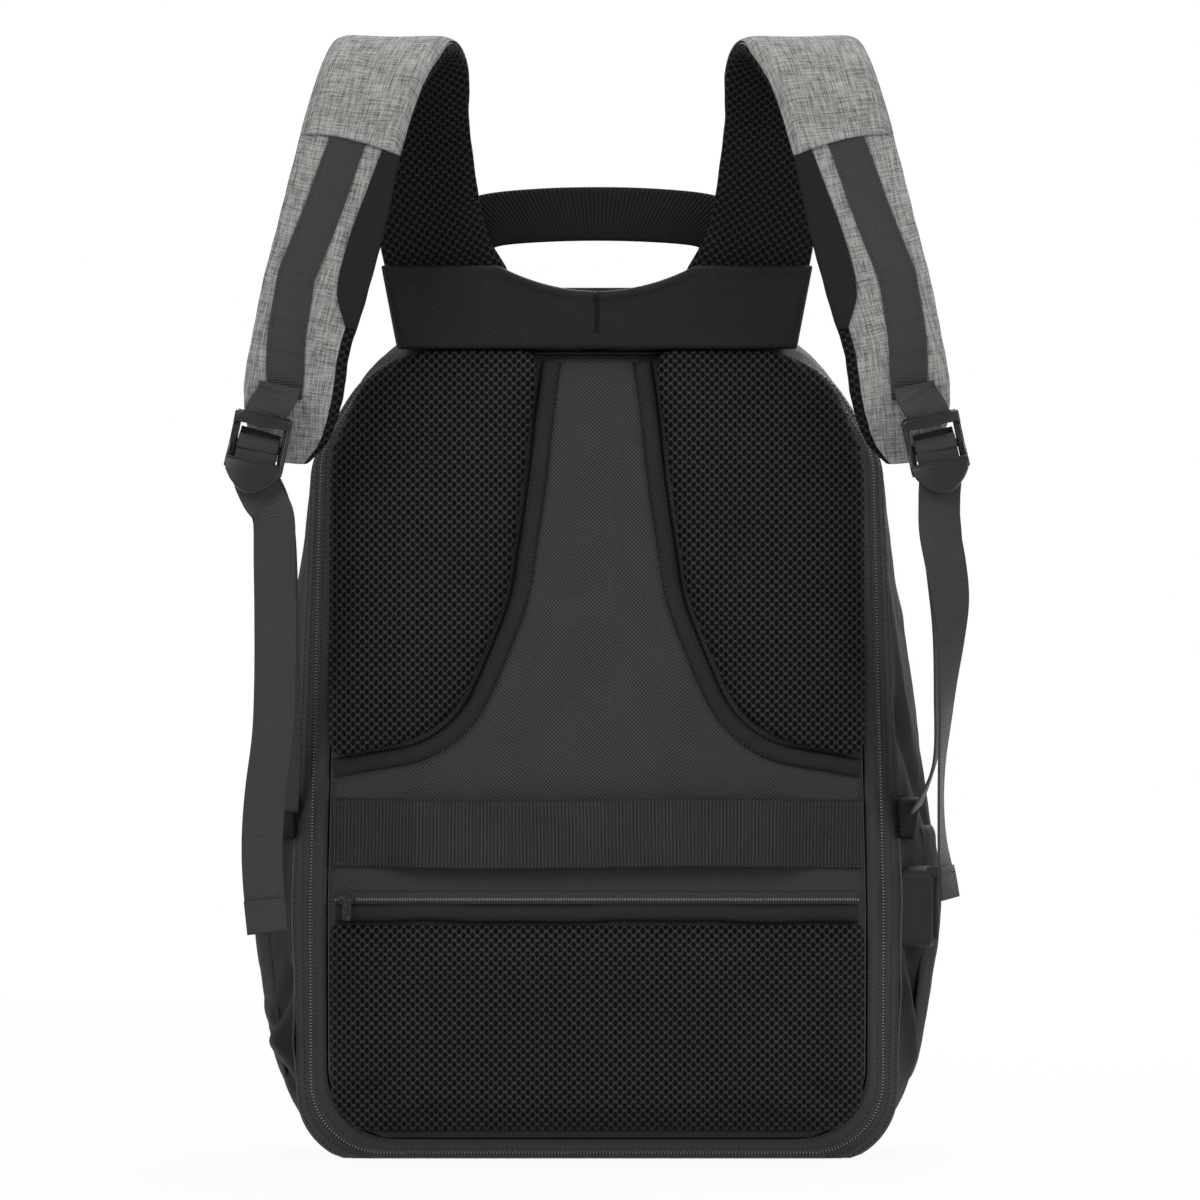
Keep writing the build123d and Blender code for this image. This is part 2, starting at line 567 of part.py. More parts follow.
    # ---------------------------------------- webbing tail, folded over the middle bar
    wrap_r = BAR_R + SOFT_GAP + WRAP_T
    start = centre + up * MID_UP + out * (wrap_r - WEBBING_T / 2)
    hang = [(start.X, start.Y - RIM_Y, start.Z), (side * 198.2, -90.8, 402), (side * 196.5, -91.5, 380),
            (side * 195.5, -92, 330), (side * 194, -91, 230), (side * 192, -90, TAIL_END)]
    with BuildPart() as tail:
        for plane in path_planes(smooth(hang, 3)):
            with BuildSketch(plane):
                Rectangle(2 * LOOP_HALF, WEBBING_T)
        loft(ruled=True)
        with BuildSketch(edge_on.offset(-LOOP_HALF)):
            with Locations((MID_UP, 0)):
                Circle(wrap_r)
        extrude(amount=2 * LOOP_HALF)
        with BuildSketch(edge_on.offset(-LOOP_HALF - 1)):
            with Locations((MID_UP, 0)):
                Circle(BAR_R + SOFT_GAP)
        extrude(amount=2 * LOOP_HALF + 2, mode=Mode.SUBTRACT)
    tail.part.label = f"tail_{word}"
    export_step(tail.part, f"parts/tail_{word}.step")

    # ------------------------------------------ load webbing down to its gusset anchor
    top = centre - up * 6 - out * (FRAME_T / 2 + SOFT_GAP + WEBBING_T / 2 + 0.2)
    load = [(top.X, top.Y - RIM_Y, top.Z), (side * 196, -68, 365), (side * 191, -32, 280),
            (side * 188.5, 2, 212), (side * 188, 5, 200)]
    with BuildPart() as load_webbing:
        for plane in path_planes(smooth(load, 3)):
            with BuildSketch(plane):
                Rectangle(2 * LOOP_HALF, WEBBING_T)
        loft(ruled=True)
    load_webbing.part.label = f"load_webbing_{word}"
    export_step(load_webbing.part, f"parts/load_webbing_{word}.step")

    with BuildPart() as anchor_tab:
        with BuildSketch(BACK.offset(-36)):
            with BuildLine():
                Polyline((side * 176, 218), (side * 203, 218), (side * 197, 178),
                         (side * 180, 178), close=True)
            make_face()
        extrude(amount=34.5)
        add(outer, mode=Mode.SUBTRACT)
        add(rim_zip_tape.part, mode=Mode.SUBTRACT)
        add(load_webbing.part, mode=Mode.SUBTRACT)
    anchor_tab.part.label = f"anchor_tab_{word}"
    export_step(anchor_tab.part, f"parts/anchor_tab_{word}.step")

# ------------------------------------------------------------------------- USB outlet
USB_DEPTH, USB_Z, USB_FACE = 24.0, 148.0, 199.0
COVER_PIN_R, PIN_PLAY = 1.1, 0.06
COVER_X, COVER_Z = USB_FACE + 2.2, USB_Z + 21
usb_side = SIDE.offset(170)
with BuildPart() as usb_boot:
    with BuildSketch(usb_side):
        with Locations((USB_DEPTH, USB_Z)):
            RectangleRounded(27, 48, 8)
    extrude(amount=USB_FACE - 170)
    chamfer(usb_boot.faces().sort_by(Axis.X)[-1].edges(), 2)
    with BuildSketch(SIDE.offset(USB_FACE - 4)):
        with Locations((USB_DEPTH - 10.7, COVER_Z), (USB_DEPTH + 10.7, COVER_Z)):
            Rectangle(3, 6)
    extrude(amount=8.2)
    with BuildSketch(BACK.offset(-USB_DEPTH - 20)):
        with Locations((COVER_X, COVER_Z)):
            Circle(COVER_PIN_R + PIN_PLAY)
    extrude(amount=40, mode=Mode.SUBTRACT)
    with BuildSketch(SIDE.offset(USB_FACE - 10)):
        with Locations((USB_DEPTH, USB_Z - 2)):
            Rectangle(7, 15)
    extrude(amount=20, mode=Mode.SUBTRACT)
    add(outer, mode=Mode.SUBTRACT)
usb_boot.part.label = "usb_boot"
export_step(usb_boot.part, "parts/usb_boot.step")

with BuildPart() as usb_socket:
    with BuildSketch(SIDE.offset(USB_FACE - 10)):
        with Locations((USB_DEPTH, USB_Z - 2)):
            Rectangle(7, 15)
    extrude(amount=9)
    with BuildSketch(SIDE.offset(USB_FACE - 9)):
        with Locations((USB_DEPTH, USB_Z - 2)):
            Rectangle(5.4, 13.2)
        with Locations((USB_DEPTH - 0.9, USB_Z - 2)):
            Rectangle(1.8, 11, mode=Mode.SUBTRACT)
    extrude(amount=8, mode=Mode.SUBTRACT)
    add(outer, mode=Mode.SUBTRACT)
usb_socket.part.label = "usb_socket"
export_step(usb_socket.part, "parts/usb_socket.step")

with BuildPart() as usb_cover:
    with BuildSketch(SIDE.offset(USB_FACE + SOFT_GAP)):
        with Locations((USB_DEPTH, USB_Z - 2)):
            RectangleRounded(18, 36, 5)
        with Locations((USB_DEPTH, COVER_Z - 3)):
            Rectangle(17.6, 8)
    extrude(amount=2)
    with BuildSketch(BACK.offset(-USB_DEPTH - 8.8)):
        with Locations((COVER_X, COVER_Z)):
            Circle(1.8)
    extrude(amount=17.6)
    with BuildSketch(BACK.offset(-USB_DEPTH - 12)):
        with Locations((COVER_X, COVER_Z)):
            Circle(COVER_PIN_R)
    extrude(amount=24)
usb_cover.part.label = "usb_cover"
export_step(usb_cover.part, "parts/usb_cover.step")

# ------------------------------------------------------- solar panel on the front face
SUN_Z = 225.0
CELL_W, CELL_H, CELL_GAP, ROWS, COLUMNS = 78.0, 42.0, 3.0, 6, 2
SUN_BOARD, SUN_CELL, SUN_COVER, SUN_FRAME = 2.5, 0.6, 1.0, 6.0
BOARD_SIZE, COVER_SIZE, FRAME_SIZE, WINDOW = (190, 290), (176, 280), (202, 302), (168, 271)
sun_face = Plane(origin=(0, RIM_Y + FRONT_DEPTH, SUN_Z), x_dir=(-1, 0, 0), z_dir=(0, 1, 0))
with BuildPart() as solar_board:
    with BuildSketch(sun_face):
        RectangleRounded(*BOARD_SIZE, 8)
    extrude(amount=SUN_BOARD)
solar_board.part.label = "solar_board"
export_step(solar_board.part, "parts/solar_board.step")

with BuildPart() as solar_cells:
    with BuildSketch(sun_face.offset(SUN_BOARD)):
        with GridLocations(CELL_W + CELL_GAP, CELL_H + CELL_GAP, COLUMNS, ROWS):
            Rectangle(CELL_W, CELL_H)
        with GridLocations(CELL_W / 2, 0, 4, 1):
            Rectangle(2, ROWS * (CELL_H + CELL_GAP) - CELL_GAP)
        with Locations((0, -ROWS * (CELL_H + CELL_GAP) / 2 + CELL_GAP + 3)):
            Rectangle(CELL_W, 2)
    extrude(amount=SUN_CELL)
solar_cells.part.label = "solar_cells"
export_step(solar_cells.part, "parts/solar_cells.step")

with BuildPart() as solar_cover:
    with BuildSketch(sun_face.offset(SUN_BOARD + SUN_CELL)):
        RectangleRounded(*COVER_SIZE, 5)
    extrude(amount=SUN_COVER)
solar_cover.part.label = "solar_cover"
export_step(solar_cover.part, "parts/solar_cover.step")

with BuildPart() as solar_frame:
    with BuildSketch(sun_face):
        RectangleRounded(*FRAME_SIZE, 12)
        RectangleRounded(*WINDOW, 5, mode=Mode.SUBTRACT)
    extrude(amount=SUN_FRAME)
    add(solar_board.part, mode=Mode.SUBTRACT)
    with BuildSketch(sun_face.offset(SUN_BOARD)):
        RectangleRounded(*COVER_SIZE, 5)
    extrude(amount=SUN_CELL + SUN_COVER, mode=Mode.SUBTRACT)
    chamfer(solar_frame.faces().sort_by(Axis.Y)[-1].edges(), 1.2)
solar_frame.part.label = "solar_frame"
export_step(solar_frame.part, "parts/solar_frame.step")

# ------------------------------------------------------------------ inside the bag
INNER_FRONT = FRONT_DEPTH - WALL
with BuildPart() as junction_box:
    with BuildSketch(BACK.offset(-INNER_FRONT)):
        with Locations((0, 315)):
            RectangleRounded(70, 50, 6)
    extrude(amount=12)
    chamfer(junction_box.faces().sort_by(Axis.Y)[0].edges(), 2)
junction_box.part.label = "junction_box"
export_step(junction_box.part, "parts/junction_box.step")

POCKET_WALL = 2.4


def open_pocket(face_depth, half, x, z_low, z_high, deep):
    """U-shaped pocket with an open top, standing off a flat wall at face_depth."""
    with BuildPart() as pocket:
        for shrink, lift, mode in ((0, 0, Mode.ADD), (POCKET_WALL, POCKET_WALL, Mode.SUBTRACT)):
            with BuildSketch(BACK.offset(-face_depth)):
                with Locations((x, (z_low + z_high) / 2 + lift)):
                    Rectangle(2 * (half - shrink), z_high - z_low)
            extrude(amount=deep - shrink, mode=mode)
    return pocket.part


with BuildPart() as organiser_pocket:
    add(open_pocket(INNER_FRONT, 106, 0, 60, 230, 20))
organiser_pocket.part.label = "organiser_pocket"
export_step(organiser_pocket.part, "parts/organiser_pocket.step")

with BuildPart() as battery_pocket:
    add(open_pocket(INNER_FRONT - 20, 44, 54, 70, 190, 18))
battery_pocket.part.label = "battery_pocket"
export_step(battery_pocket.part, "parts/battery_pocket.step")
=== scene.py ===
"""Looks of a rear opening solar backpack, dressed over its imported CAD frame."""

import math

import bmesh
import bpy
import numpy as np
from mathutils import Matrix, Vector


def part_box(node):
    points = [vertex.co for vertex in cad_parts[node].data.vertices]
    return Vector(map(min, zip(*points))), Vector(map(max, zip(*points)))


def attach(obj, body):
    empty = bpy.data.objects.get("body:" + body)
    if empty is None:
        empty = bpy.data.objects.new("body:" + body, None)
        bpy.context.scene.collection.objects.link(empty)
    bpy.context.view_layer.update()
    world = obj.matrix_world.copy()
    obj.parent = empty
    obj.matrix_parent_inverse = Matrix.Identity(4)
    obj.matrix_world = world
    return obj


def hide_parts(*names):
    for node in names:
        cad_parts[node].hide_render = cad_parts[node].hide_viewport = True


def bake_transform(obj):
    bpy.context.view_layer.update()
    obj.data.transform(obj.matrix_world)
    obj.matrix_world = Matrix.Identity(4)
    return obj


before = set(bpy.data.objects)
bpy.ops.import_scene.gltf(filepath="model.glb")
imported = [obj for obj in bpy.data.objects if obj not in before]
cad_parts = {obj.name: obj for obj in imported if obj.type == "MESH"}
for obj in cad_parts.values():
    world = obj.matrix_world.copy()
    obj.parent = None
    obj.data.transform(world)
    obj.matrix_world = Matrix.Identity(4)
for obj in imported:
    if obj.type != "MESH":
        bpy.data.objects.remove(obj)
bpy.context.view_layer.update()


# ---------------------------------------------------------------- shell of the bag
# Coated dark polyester over thin foam, cut as two gussets, a top, a base and a grey
# front, sewn edge to edge. The seams pull in and the cloth between them puckers and sags.
RIM_Y = -80.0                    # y of the main zip, in mm; depth is counted from it
CORNER_R = (42, 150, 45, 40, 40)
BULGE_R = (80, 200, 60, 50, 60)
STATIONS = (                     # depth, x and z of five corners from the base up, their radii
    (10, 176, -3, 180, 150, 168, 414, 136, 465, 84, 474.5, *CORNER_R),
    (68, 180, -5, 205, 150, 167, 405, 124, 478, 80, 503, *BULGE_R),
    (122, 174, -4, 197, 150, 160, 392, 114, 458, 72, 480, *BULGE_R),
    (150, 162, 8, 180, 150, 146, 368, 100, 426, 62, 444, *BULGE_R),
    (164, 144, 26, 160, 150, 128, 350, 86, 398, 52, 412, *BULGE_R),
)
RIM_DEPTH, SEAM_DEPTH, FRONT_DEPTH = 10, 122, 164
FRONT_CLOTH = FRONT_DEPTH - 0.4
BASE_HALF, TOP_SEAM_Z = 120, 432
SHELL_T = 3.0                    # cloth, foam and lining together
SIDES = ((-1, "left"), (1, "right"))
OUT = (0, -1, 0)                 # the way that the back panel faces


def place(points):
    """Points as (x, depth, z) in mm, moved to the frame in metres."""
    return (np.asarray(points, float) + (0, RIM_Y, 0)) / 1000


def at_depth(flat, depth, lowest=-math.inf):
    """Points (x, z) of an outline as (x, depth, z), none of them under the lowest z."""
    x, z = np.asarray(flat, float).T
    return np.stack([x, np.full(len(x), float(depth)), np.maximum(z, lowest)], 1)


def eased(rows, steps):
    """Rows of numbers on a smooth curve through all of them, steps spans between each two."""
    rows = np.asarray(rows, float)
    ends = np.vstack([rows[:1], rows, rows[-1:]])
    fine = []
    for p, q, r, s in zip(ends, ends[1:], ends[2:], ends[3:]):
        for t in np.arange(steps) / steps:
            fine.append(q + t * (r - p) / 2 + t**2 * (p - 2.5 * q + 2 * r - s / 2)
                        + t**3 * (1.5 * (q - r) + (s - p) / 2))
    return np.array(fine + [rows[-1]])


def rounded(points, radii, closed=False, fine=8):
    """A run of straight lines whose corners are rounded by the radii."""
    points = [np.asarray(p, float) for p in points]
    if closed:
        points = [points[-1], *points, points[0]]
    path = [] if closed else [points[0]]
    for p, q, r, radius in zip(points, points[1:], points[2:], radii):
        a, b = (p - q) / np.linalg.norm(p - q), (r - q) / np.linalg.norm(r - q)
        half = math.acos(np.clip(a @ b, -1, 1)) / 2
        if half > math.pi / 2 - 1e-3:
            path.append(q)
            continue
        run, middle = radius / math.tan(half), (a + b) / np.linalg.norm(a + b)
        centre = q + middle * radius / math.sin(half)
        from_, to = q + a * run - centre, q + b * run - centre
        sweep_angle = math.pi - 2 * half
        for i in range(fine + 1):
            t = sweep_angle * i / fine
            path.append(centre + (from_ * math.sin(sweep_angle - t) + to * math.sin(t))
                        / math.sin(sweep_angle))
    return np.array(path if closed else path + [points[-1]])


def spaced(path, count):
    """The path walked in count evenly spaced points."""
    path = np.asarray(path, float)
    run = np.r_[0, np.cumsum(np.linalg.norm(np.diff(path, axis=0), axis=1))]
    at = np.linspace(0, run[-1], count)
    return np.stack([np.interp(at, run, path[:, i]) for i in range(path.shape[1])], 1)


def half_ring(numbers):
    """Right half of a bag outline, from the middle of the base to the middle of the top."""
    corners = np.reshape(numbers[:10], (5, 2))
    return rounded([(0, corners[0, 1]), *corners, (0, corners[4, 1])], numbers[10:], fine=14)


def both_sides(half, closed=True):
    """A right half outline and its mirror image as one run."""
    return np.concatenate([half, half[::-1][1:-1 if closed else None] * (-1, 1)])


bag_table = eased(STATIONS, 16)


def bag_ring(depth):
    return half_ring([np.interp(depth, bag_table[:, 0], column) for column in bag_table.T[1:]])


def cut_run(path, axis, value):
    """The path up to and from the first place where it crosses value on that axis."""
    for i in range(len(path) - 1):
        a, b = path[i][axis] - value, path[i + 1][axis] - value
        if a == 0 or a * b < 0:
            spot = path[i] + (path[i + 1] - path[i]) * (a / (a - b) if a else 0)
            return np.vstack([path[:i + 1], spot]), np.vstack([spot, path[i + 1:]])
    raise ValueError(value)


def facing(rows):
    """Unit normals of a grid of points."""
    down = np.gradient(rows, axis=0)
    along = np.gradient(rows, axis=1)
    normal = np.cross(along, down)
    return normal / np.maximum(np.linalg.norm(normal, axis=2, keepdims=True), 1e-9)


def walked(rows, axis):
    """Length in mm walked along one axis of a grid of points, at each point."""
    steps = np.diff(rows, axis=axis, prepend=np.take(rows, [0], axis))
    return np.cumsum(np.linalg.norm(steps, axis=2), axis=axis)


def from_edges(rows, top=True, bottom=True, left=True, right=True):
    """Distance in mm of each grid point from the sewn edges of its panel."""
    far = np.full(rows.shape[:2], 1e3)
    down, along = walked(rows, 0), walked(rows, 1)
    for used, distance in ((top, down), (bottom, down[-1:] - down),
                           (left, along), (right, along[:, -1:] - along)):
        if used:
            far = np.minimum(far, distance)
    return far


FADE = 22                        # mm from a seam to where ridges stand at full height


def puckered(rows, seed, height=1.0, reach=60.0, seam=1.0, edges=(1, 1, 1, 1), folds=()):
    """A cloth panel with soft ridges, pulled in along its seams, and named folds.

    A fold is (depth, z, depth, z, width, height), a ridge or valley along that line."""
    noise = np.random.default_rng(seed)
    far = from_edges(rows, *edges)
    lift = np.zeros(far.shape)
    for octave in range(5):
        way = noise.normal(size=3) * (1, 1, 0.6)
        way *= 2 * math.pi / reach * (1.45 ** octave) / np.linalg.norm(way)
        bend = noise.normal(size=3) * 0.5 * np.linalg.norm(way)
        wave = rows @ way + 1.3 * np.sin(rows @ bend + noise.uniform(0, 6))
        lift += (1 - np.abs(np.sin(wave + noise.uniform(0, 6)))) ** 2 / (1.35 ** octave) - 0.35
    lift *= height * np.clip(far / FADE, 0, 1)
    tuck = np.sin(rows.sum(2) * 2 * math.pi / 13 + 1.5 * np.sin(rows[..., 2] / 17))
    lift += seam * (0.25 * tuck * np.exp(-((far - 5) / 4) ** 2) - 1.1 * np.exp(-(far / 2.6) ** 2))
    for d0, z0, d1, z1, width, rise in folds:
        a, b = np.array((d0, z0)), np.array((d1, z1))
        spot = rows[..., 1:]
        t = np.clip(((spot - a) @ (b - a)) / ((b - a) @ (b - a)), 0, 1)
        off = np.linalg.norm(spot - (a + t[..., None] * (b - a)), axis=2)
        lift += rise * np.exp(-(off / width) ** 1.3) * np.clip(far / 6, 0, 1)
    return lift


def quads(rows, wide):
    """Corners (row, column) of the faces of a grid, with wide faces to a row."""
    return [[(r, c), (r, c + 1), (r + 1, c + 1), (r + 1, c)]
            for r in range(rows - 1) for c in range(wide)]


def cloth_mesh(name, points, faces, spots):
    """A mesh of points in mm, whose face corners lie at these spots of the cloth."""
    mesh = bpy.data.meshes.new(name)
    mesh.from_pydata(place(points).reshape(-1, 3).tolist(), [], faces)
    mesh.uv_layers.new(name="Cloth").data.foreach_set("uv", (np.array(spots) / 1000).ravel())
    return mesh


def surface(name, rows, finishes, flip=False, closed=False, thick=0.0, inner=0, level=0):
    """A mesh over a grid of (x, depth, z) points, with a UV map in metres."""
    rows = np.asarray(rows, float)
    count, wide = rows.shape[:2]
    loop = np.concatenate([rows, rows[:, :1]], 1) if closed else rows
    u, v = walked(loop, 1), walked(loop, 0)
    middle = loop.shape[1] // 2
    u = u - u[:, middle:middle + 1]
    rings = [ring[::-1] if flip else ring for ring in quads(count, wide if closed else wide - 1)]
    faces = [[a * wide + b % wide for a, b in ring] for ring in rings]
    r, c = np.array(rings).reshape(-1, 2).T
    mesh = cloth_mesh(name, rows, faces, np.stack([u[r, c], v[r, c]], 1))
    return dressed(name, mesh, finishes, thick, inner, level)


def shown(name, data):
    """An object of the data, in the scene."""
    piece = bpy.data.objects.new(name, data)
    bpy.context.scene.collection.objects.link(piece)
    return piece


def dressed(name, mesh, finishes, thick=0.0, inner=0, level=0):
    """An object of the mesh, smooth, with its finishes and a cloth thickness inwards."""
    mesh.polygons.foreach_set("use_smooth", [True] * len(mesh.polygons))
    piece = shown(name, mesh)
    for finish in finishes if isinstance(finishes, (list, tuple)) else [finishes]:
        mesh.materials.append(finish)
    if thick:
        wall = piece.modifiers.new("Wall", "SOLIDIFY")
        wall.thickness, wall.offset, wall.use_even_offset = thick / 1000, -1, True
        wall.material_offset = wall.material_offset_rim = inner
    return smoothed(piece, level)


def smoothed(piece, level):
    """The piece with its mesh rounded by subdivision, where level isn't 0."""
    if level:
        smooth = piece.modifiers.new("Smooth", "SUBSURF")
        smooth.levels = smooth.render_levels = level
    return piece


def settle(piece, body, slot, *nodes):
    """Fixes a piece to its CAD body and hides the solids that it stands for."""
    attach(piece, body)
    if nodes:
        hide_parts(*nodes)
    return piece


class Signal:
    """A number in a shader tree; the operators on it make Math nodes."""

    def __init__(self, tree, source):
        self.tree, self.source = tree, source

    def math(self, operation, *others):
        node = self.tree.nodes.new("ShaderNodeMath")
        node.operation = operation
        self.tree.links.new(self.source, node.inputs[0])
        for i, other in enumerate(others, 1):
            if isinstance(other, Signal):
                self.tree.links.new(other.source, node.inputs[i])
            else:
                node.inputs[i].default_value = other
        return Signal(self.tree, node.outputs[0])

    def __add__(self, other):
        return self.math("ADD", other)

    def __sub__(self, other):
        return self.math("SUBTRACT", other)

    def __mul__(self, other):
        return self.math("MULTIPLY", other)

    def __truediv__(self, other):
        return self.math("DIVIDE", other)

    __radd__, __rmul__ = __add__, __mul__

    def __rsub__(self, other):
        return self * -1 + other

    def part(self):
        """What is left after the whole number."""
        return self.math("FRACT")

    def sin(self):
        return self.math("SINE")

    def wave(self, pitch):
        """Sine that swings once in each pitch."""
        return (self * (2 * math.pi / pitch)).sin()

    def size(self):
        return self.math("ABSOLUTE")

    def power(self, other):
        return self.math("POWER", other)

    def least(self, other):
        return self.math("MINIMUM", other)

    def most(self, other):
        return self.math("MAXIMUM", other)

    def step(self, low, high):
        """0 below low, 1 above high and smooth between them."""
        node = self.tree.nodes.new("ShaderNodeMapRange")
        node.interpolation_type = "SMOOTHSTEP"
        self.tree.links.new(self.source, node.inputs[0])
        for i, value in enumerate((low, high, 0, 1), 1):
            node.inputs[i].default_value = value
        return Signal(self.tree, node.outputs[0])


class Finish:
    """A material with its shader, and the ways into it that this bag's finishes use."""

    def __init__(self, name, **constants):
        self.material = bpy.data.materials.new(name)
        self.material.use_nodes = True
        self.tree = self.material.node_tree
        self.shader = self.tree.nodes["Principled BSDF"]
        for socket, value in constants.items():
            self.shader.inputs[socket.replace("_", " ")].default_value = value

    def spot(self, kind):
        """The three coordinates in mm: UV follows the cloth, Object the frame."""
        source = self.tree.nodes.new("ShaderNodeTexCoord").outputs[kind]
        split = self.tree.nodes.new("ShaderNodeSeparateXYZ")
        self.tree.links.new(source, split.inputs[0])
        return [Signal(self.tree, out) * 1000.0 for out in split.outputs]

    def grain(self, x, y, z=0.0, detail=2.0, rough=0.5):
        """Noise from 0 to 1 over three signals or numbers."""
        join = self.tree.nodes.new("ShaderNodeCombineXYZ")
        for i, value in enumerate((x, y, z)):
            if isinstance(value, Signal):
                self.tree.links.new(value.source, join.inputs[i])
            else:
                join.inputs[i].default_value = value
        noise = self.tree.nodes.new("ShaderNodeTexNoise")
        noise.inputs["Scale"].default_value = 1.0
        noise.inputs["Detail"].default_value = detail
        noise.inputs["Roughness"].default_value = rough
        self.tree.links.new(join.outputs[0], noise.inputs["Vector"])
        return Signal(self.tree, noise.outputs["Fac"])

    def cloud(self, fine, detail=2.0, rough=0.5):
        """Noise over the frame, fine times as fine as one cell to the millimetre."""
        return self.grain(*(way * fine for way in self.spot("Object")), detail, rough)

    def mix(self, share, low, high):
        """A colour between low and high, each of them a grey, a tint or another mix."""
        mix = self.tree.nodes.new("ShaderNodeMix")
        mix.data_type = "RGBA"
        self.tree.links.new(share.source, mix.inputs[0])
        for socket, value in zip((mix.inputs[6], mix.inputs[7]), (low, high)):
            if isinstance(value, bpy.types.NodeSocket):
                self.tree.links.new(value, socket)
            else:
                socket.default_value = (*((value,) * 3 if isinstance(value, (int, float)) else value), 1)
        return mix.outputs[2]

    def colour(self, share, low, high):
        """Base colour from low to high as share goes from 0 to 1."""
        self.tree.links.new(self.mix(share, low, high), self.shader.inputs["Base Color"])

    def rough(self, share, low, high):
        self.tree.links.new((share * (high - low) + low).source, self.shader.inputs["Roughness"])

    def relief(self, height, deep):
        """Bump whose full height is deep mm; gives the finished material."""
        bump = self.tree.nodes.new("ShaderNodeBump")
        bump.inputs["Distance"].default_value = deep / 1000
        bump.inputs["Strength"].default_value = 1.0
        self.tree.links.new(height.source, bump.inputs["Height"])
        self.tree.links.new(bump.outputs[0], self.shader.inputs["Normal"])
        return self.material


def staggered(u, v, pitch, out, inside, oval=0.55):
    """1 in the middle of the oval dots of a staggered grid, 0 between them."""
    both = None
    for shift in (0.0, 0.5):
        a, b = (((way / pitch + shift).part() - 0.5) * pitch for way in (u, v))
        away = (a * a + b * b * oval).power(0.5)
        both = away if both is None else both.least(away)
    return 1.0 - both.step(inside, out)


WEAVE, HEATHER_WEAVE = 0.62, 1.0         # mm from yarn to yarn and back


def coated_cloth(name, low, high, gloss=(0.42, 0.6), shine=0.2):
    """Smooth polyurethane coated polyester: a fine plain weave under a dull film."""
    film = Finish(name, Specular_IOR_Level=shine)
    u, v, _ = film.spot("UV")
    weave = u.wave(WEAVE) * v.wave(WEAVE)
    worn = film.grain(u * 0.02, v * 0.02, detail=4)
    scuff = film.grain(u * 0.35, v * 0.09, 3.1, detail=3)
    film.colour(worn * 0.7 + scuff * 0.3, low, high)
    film.rough(scuff * 0.6 + worn * 0.4, *gloss)
    return film.relief(weave * 0.35 + scuff * 0.5 + worn * 1.2, 0.09)


def heather_cloth(name):
    """Two tone heather: slubby light and dark yarns crossing in a plain weave."""
    cloth = Finish(name, Sheen_Weight=0.04, Sheen_Roughness=0.5, Specular_IOR_Level=0.15)
    u, v, _ = cloth.spot("UV")
    warp = cloth.grain(u * 1.5, v * 0.07, 1.7, detail=3, rough=0.75)
    weft = cloth.grain(u * 0.08, v * 1.5, 8.2, detail=3, rough=0.75)
    cross = u.wave(HEATHER_WEAVE) * v.wave(HEATHER_WEAVE)
    over = cross.step(-0.35, 0.35)
    yarn = warp * over + weft * (1.0 - over)
    patch = cloth.grain(u * 0.05, v * 0.05, 4.0, detail=3)
    shade = yarn * 0.85 + warp * 0.25 + weft * 0.15 + patch * 0.12 - 0.12
    cloth.colour(shade.step(0.36, 0.74), (0.05, 0.0485, 0.0465), (0.395, 0.385, 0.372))
    cloth.rough(yarn, 0.82, 0.95)
    return cloth.relief(cross * 0.5 + yarn * 1.1, 0.16)


shell_cloth = coated_cloth("coated polyester", 0.008, 0.018, (0.5, 0.66), 0.09)
lining_cloth = coated_cloth("grey lining", 0.05, 0.075, (0.55, 0.7))
grey_cloth = heather_cloth("grey heather")


def shell_rows(depths, pick, count):
    """Grid over the bag from the stretch of outline that pick takes at each depth."""
    return np.array([at_depth(spaced(pick(bag_ring(depth)), count), depth, 0) for depth in depths])


def mirrored(rows):
    return rows * (-1, 1, 1)


def swollen(rows, lift, normals=None):
    """The grid moved out along its normals; the base stays on the ground."""
    normals = facing(rows) if normals is None else normals
    moved = rows + normals * np.asarray(lift)[..., None]
    moved[..., 2] = np.where(rows[..., 2] <= 0.01, 0.0, np.maximum(moved[..., 2], 0))
    return moved


side_depths = np.linspace(RIM_DEPTH, SEAM_DEPTH, 27)
side_rows = shell_rows(side_depths,
                       lambda p: cut_run(cut_run(p, 0, BASE_HALF)[1], 1, TOP_SEAM_Z)[0], 96)
top_half = shell_rows(side_depths, lambda p: cut_run(p, 1, TOP_SEAM_Z)[1], 28)
base_half = shell_rows(side_depths, lambda p: cut_run(p, 0, BASE_HALF)[0], 14)

SIDE_FOLDS = {                   # by side: depth, z, depth, z, width, height
    "left": ((12, 110, 54, 64, 5, 7.0), (54, 64, 14, 36, 5, 7.0), (14, 68, 34, 68, 13, -9.0),
             (20, 210, 62, 118, 12, 3.2), (30, 300, 64, 180, 9, 2.2), (22, 70, 100, 96, 8, -2.6),
             (26, 160, 44, 250, 7, -2.0), (60, 330, 100, 250, 9, -1.6)),
    "right": ((12, 268, 60, 196, 6, 5.0), (20, 140, 64, 24, 6, 6.0), (14, 100, 40, 60, 8, -6.0),
              (14, 330, 40, 250, 7, -2.2), (60, 320, 104, 220, 9, -1.8)),
}
for side, word in SIDES:
    rows = swollen(side_rows, puckered(side_rows, 11 + side, 0.9, 70, folds=SIDE_FOLDS[word]))
    gusset = surface(f"gusset_cloth_{word}", rows if side > 0 else mirrored(rows),
                     [shell_cloth, lining_cloth], flip=side > 0, thick=SHELL_T, inner=1, level=1)
    settle(gusset, "pack", "shell_fabric", f"gusset_{word}")

top_rows = np.concatenate([top_half, mirrored(top_half)[:, ::-1][:, 1:]], 1)
top_rows = swollen(top_rows, puckered(top_rows, 5, 0.7, 60))
top_cloth = surface("top_cloth", top_rows, [shell_cloth, lining_cloth], flip=True,
                    thick=SHELL_T, inner=1, level=1)
settle(top_cloth, "pack", "shell_fabric", "top_gusset")

